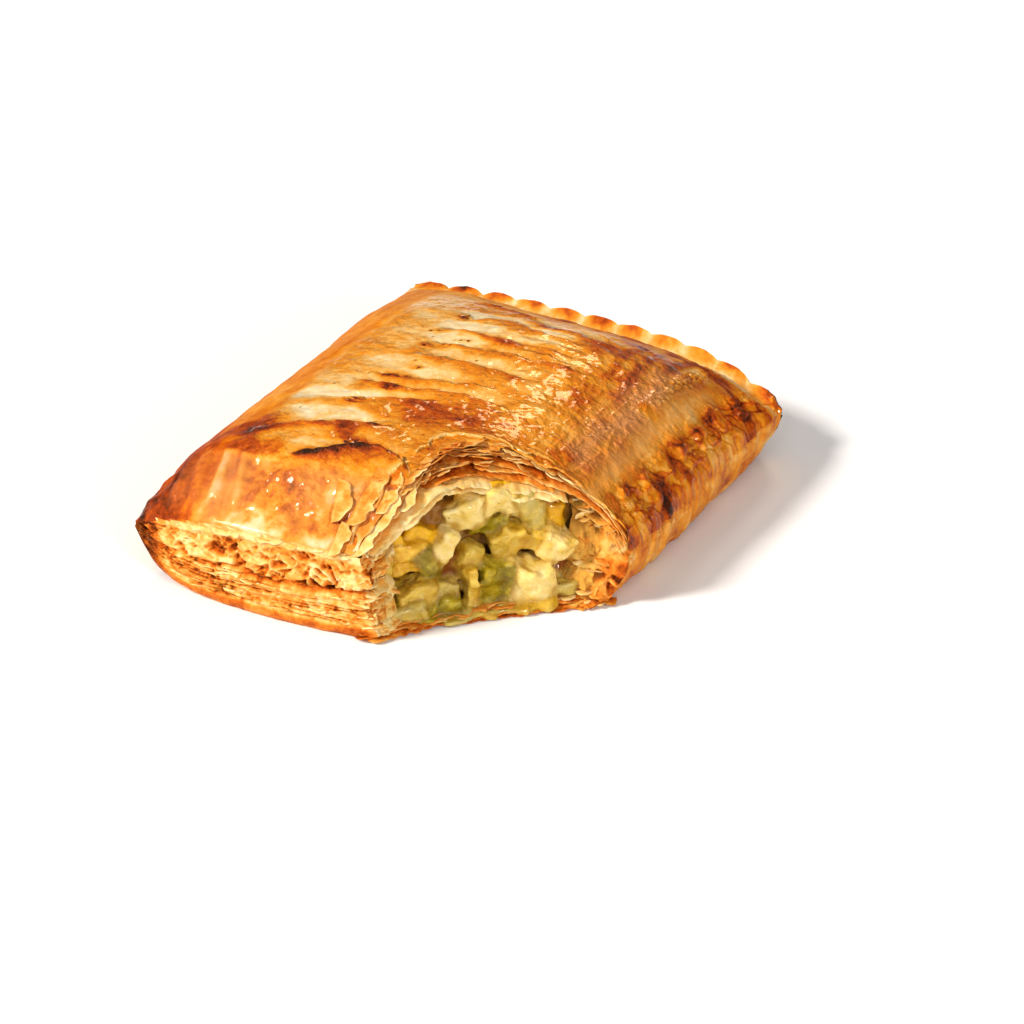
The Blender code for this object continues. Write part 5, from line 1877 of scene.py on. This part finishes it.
LAMPS = (  # name, azimuth and elevation it shines from, its angle across in degrees, strength, colour
    ("key_lamp", -43.8, 38, 14, 3.45, "FFF8EE"),
    ("fill_lamp", 38, 28, 60, 1.25, "FFFFFF"),
    ("back_window", 200, 40, 13, 0.55, "FFE6C4"),
    ("glint_lamp", 62, 24, 7, 0.8, "FFFCF6"),
)
for name, azimuth, elevation, across, strength, colour in LAMPS:
    lamp = bpy.data.objects.new(name, bpy.data.lights.new(name, "SUN"))
    lamp.data.angle, lamp.data.energy = math.radians(across), strength
    lamp.data.color = linear(colour)[:3]
    lamp.location = stand(azimuth, elevation, 1.4)
    look_at_aim(lamp, azimuth, elevation)
    bpy.context.scene.collection.objects.link(lamp)

# %% [markdown]
# The sky is dim at the horizon and brighter overhead, as under a big soft light, and the floor is white card.

# %% Sky and floor
world = bpy.data.worlds.new("pale_sky")
world.use_nodes = True
sky = world.node_tree
direction = add(sky, "ShaderNodeTexCoord").outputs["Generated"]
rise = add(sky, "ShaderNodeSeparateXYZ", Vector=direction).outputs["Z"]
overhead = add(sky, "ShaderNodeMath", {"operation": "MULTIPLY"}, i0=rise, i1=rise).outputs[0]
glow = add(sky, "ShaderNodeMath", {"operation": "MULTIPLY_ADD"}, i0=overhead, i1=0.28, i2=0.09).outputs[0]
sky.nodes["Background"].inputs["Color"].default_value = linear("FFFFFF")
sky.links.new(glow, sky.nodes["Background"].inputs["Strength"])
bpy.context.scene.world = world
bpy.context.scene.view_settings.view_transform = "Standard"
bpy.context.scene.view_settings.gamma = 0.84

white_card, card_tree, card_shader = start_material("white_card", Roughness=0.8)
card_place = add(card_tree, "ShaderNodeTexCoord").outputs["Object"]
fleck = add(card_tree, "ShaderNodeTexNoise", Vector=card_place, Scale=per_mm(3)).outputs["Fac"]
card_tint = ramp(card_tree, fleck, ((0.3, "F6F8FC"), (0.7, "F7F9FD")))
card_tree.links.new(card_tint, card_shader.inputs["Base Color"])
floor_mesh = bpy.data.meshes.new("floor")
floor_mesh.from_pydata([(-3, -3, 0), (3, -3, 0), (3, 3, 0), (-3, 3, 0)], [], [(0, 1, 2, 3)])
floor_mesh.materials.append(white_card)
floor = bpy.data.objects.new("floor", floor_mesh)
bpy.context.scene.collection.objects.link(floor)
print("the camera stands at", np.array(camera.location).round(2), "and", len(LAMPS), "lamps light the food")

# %% [markdown]
# ## Finish

# %% Finish
bpy.context.view_layer.update()
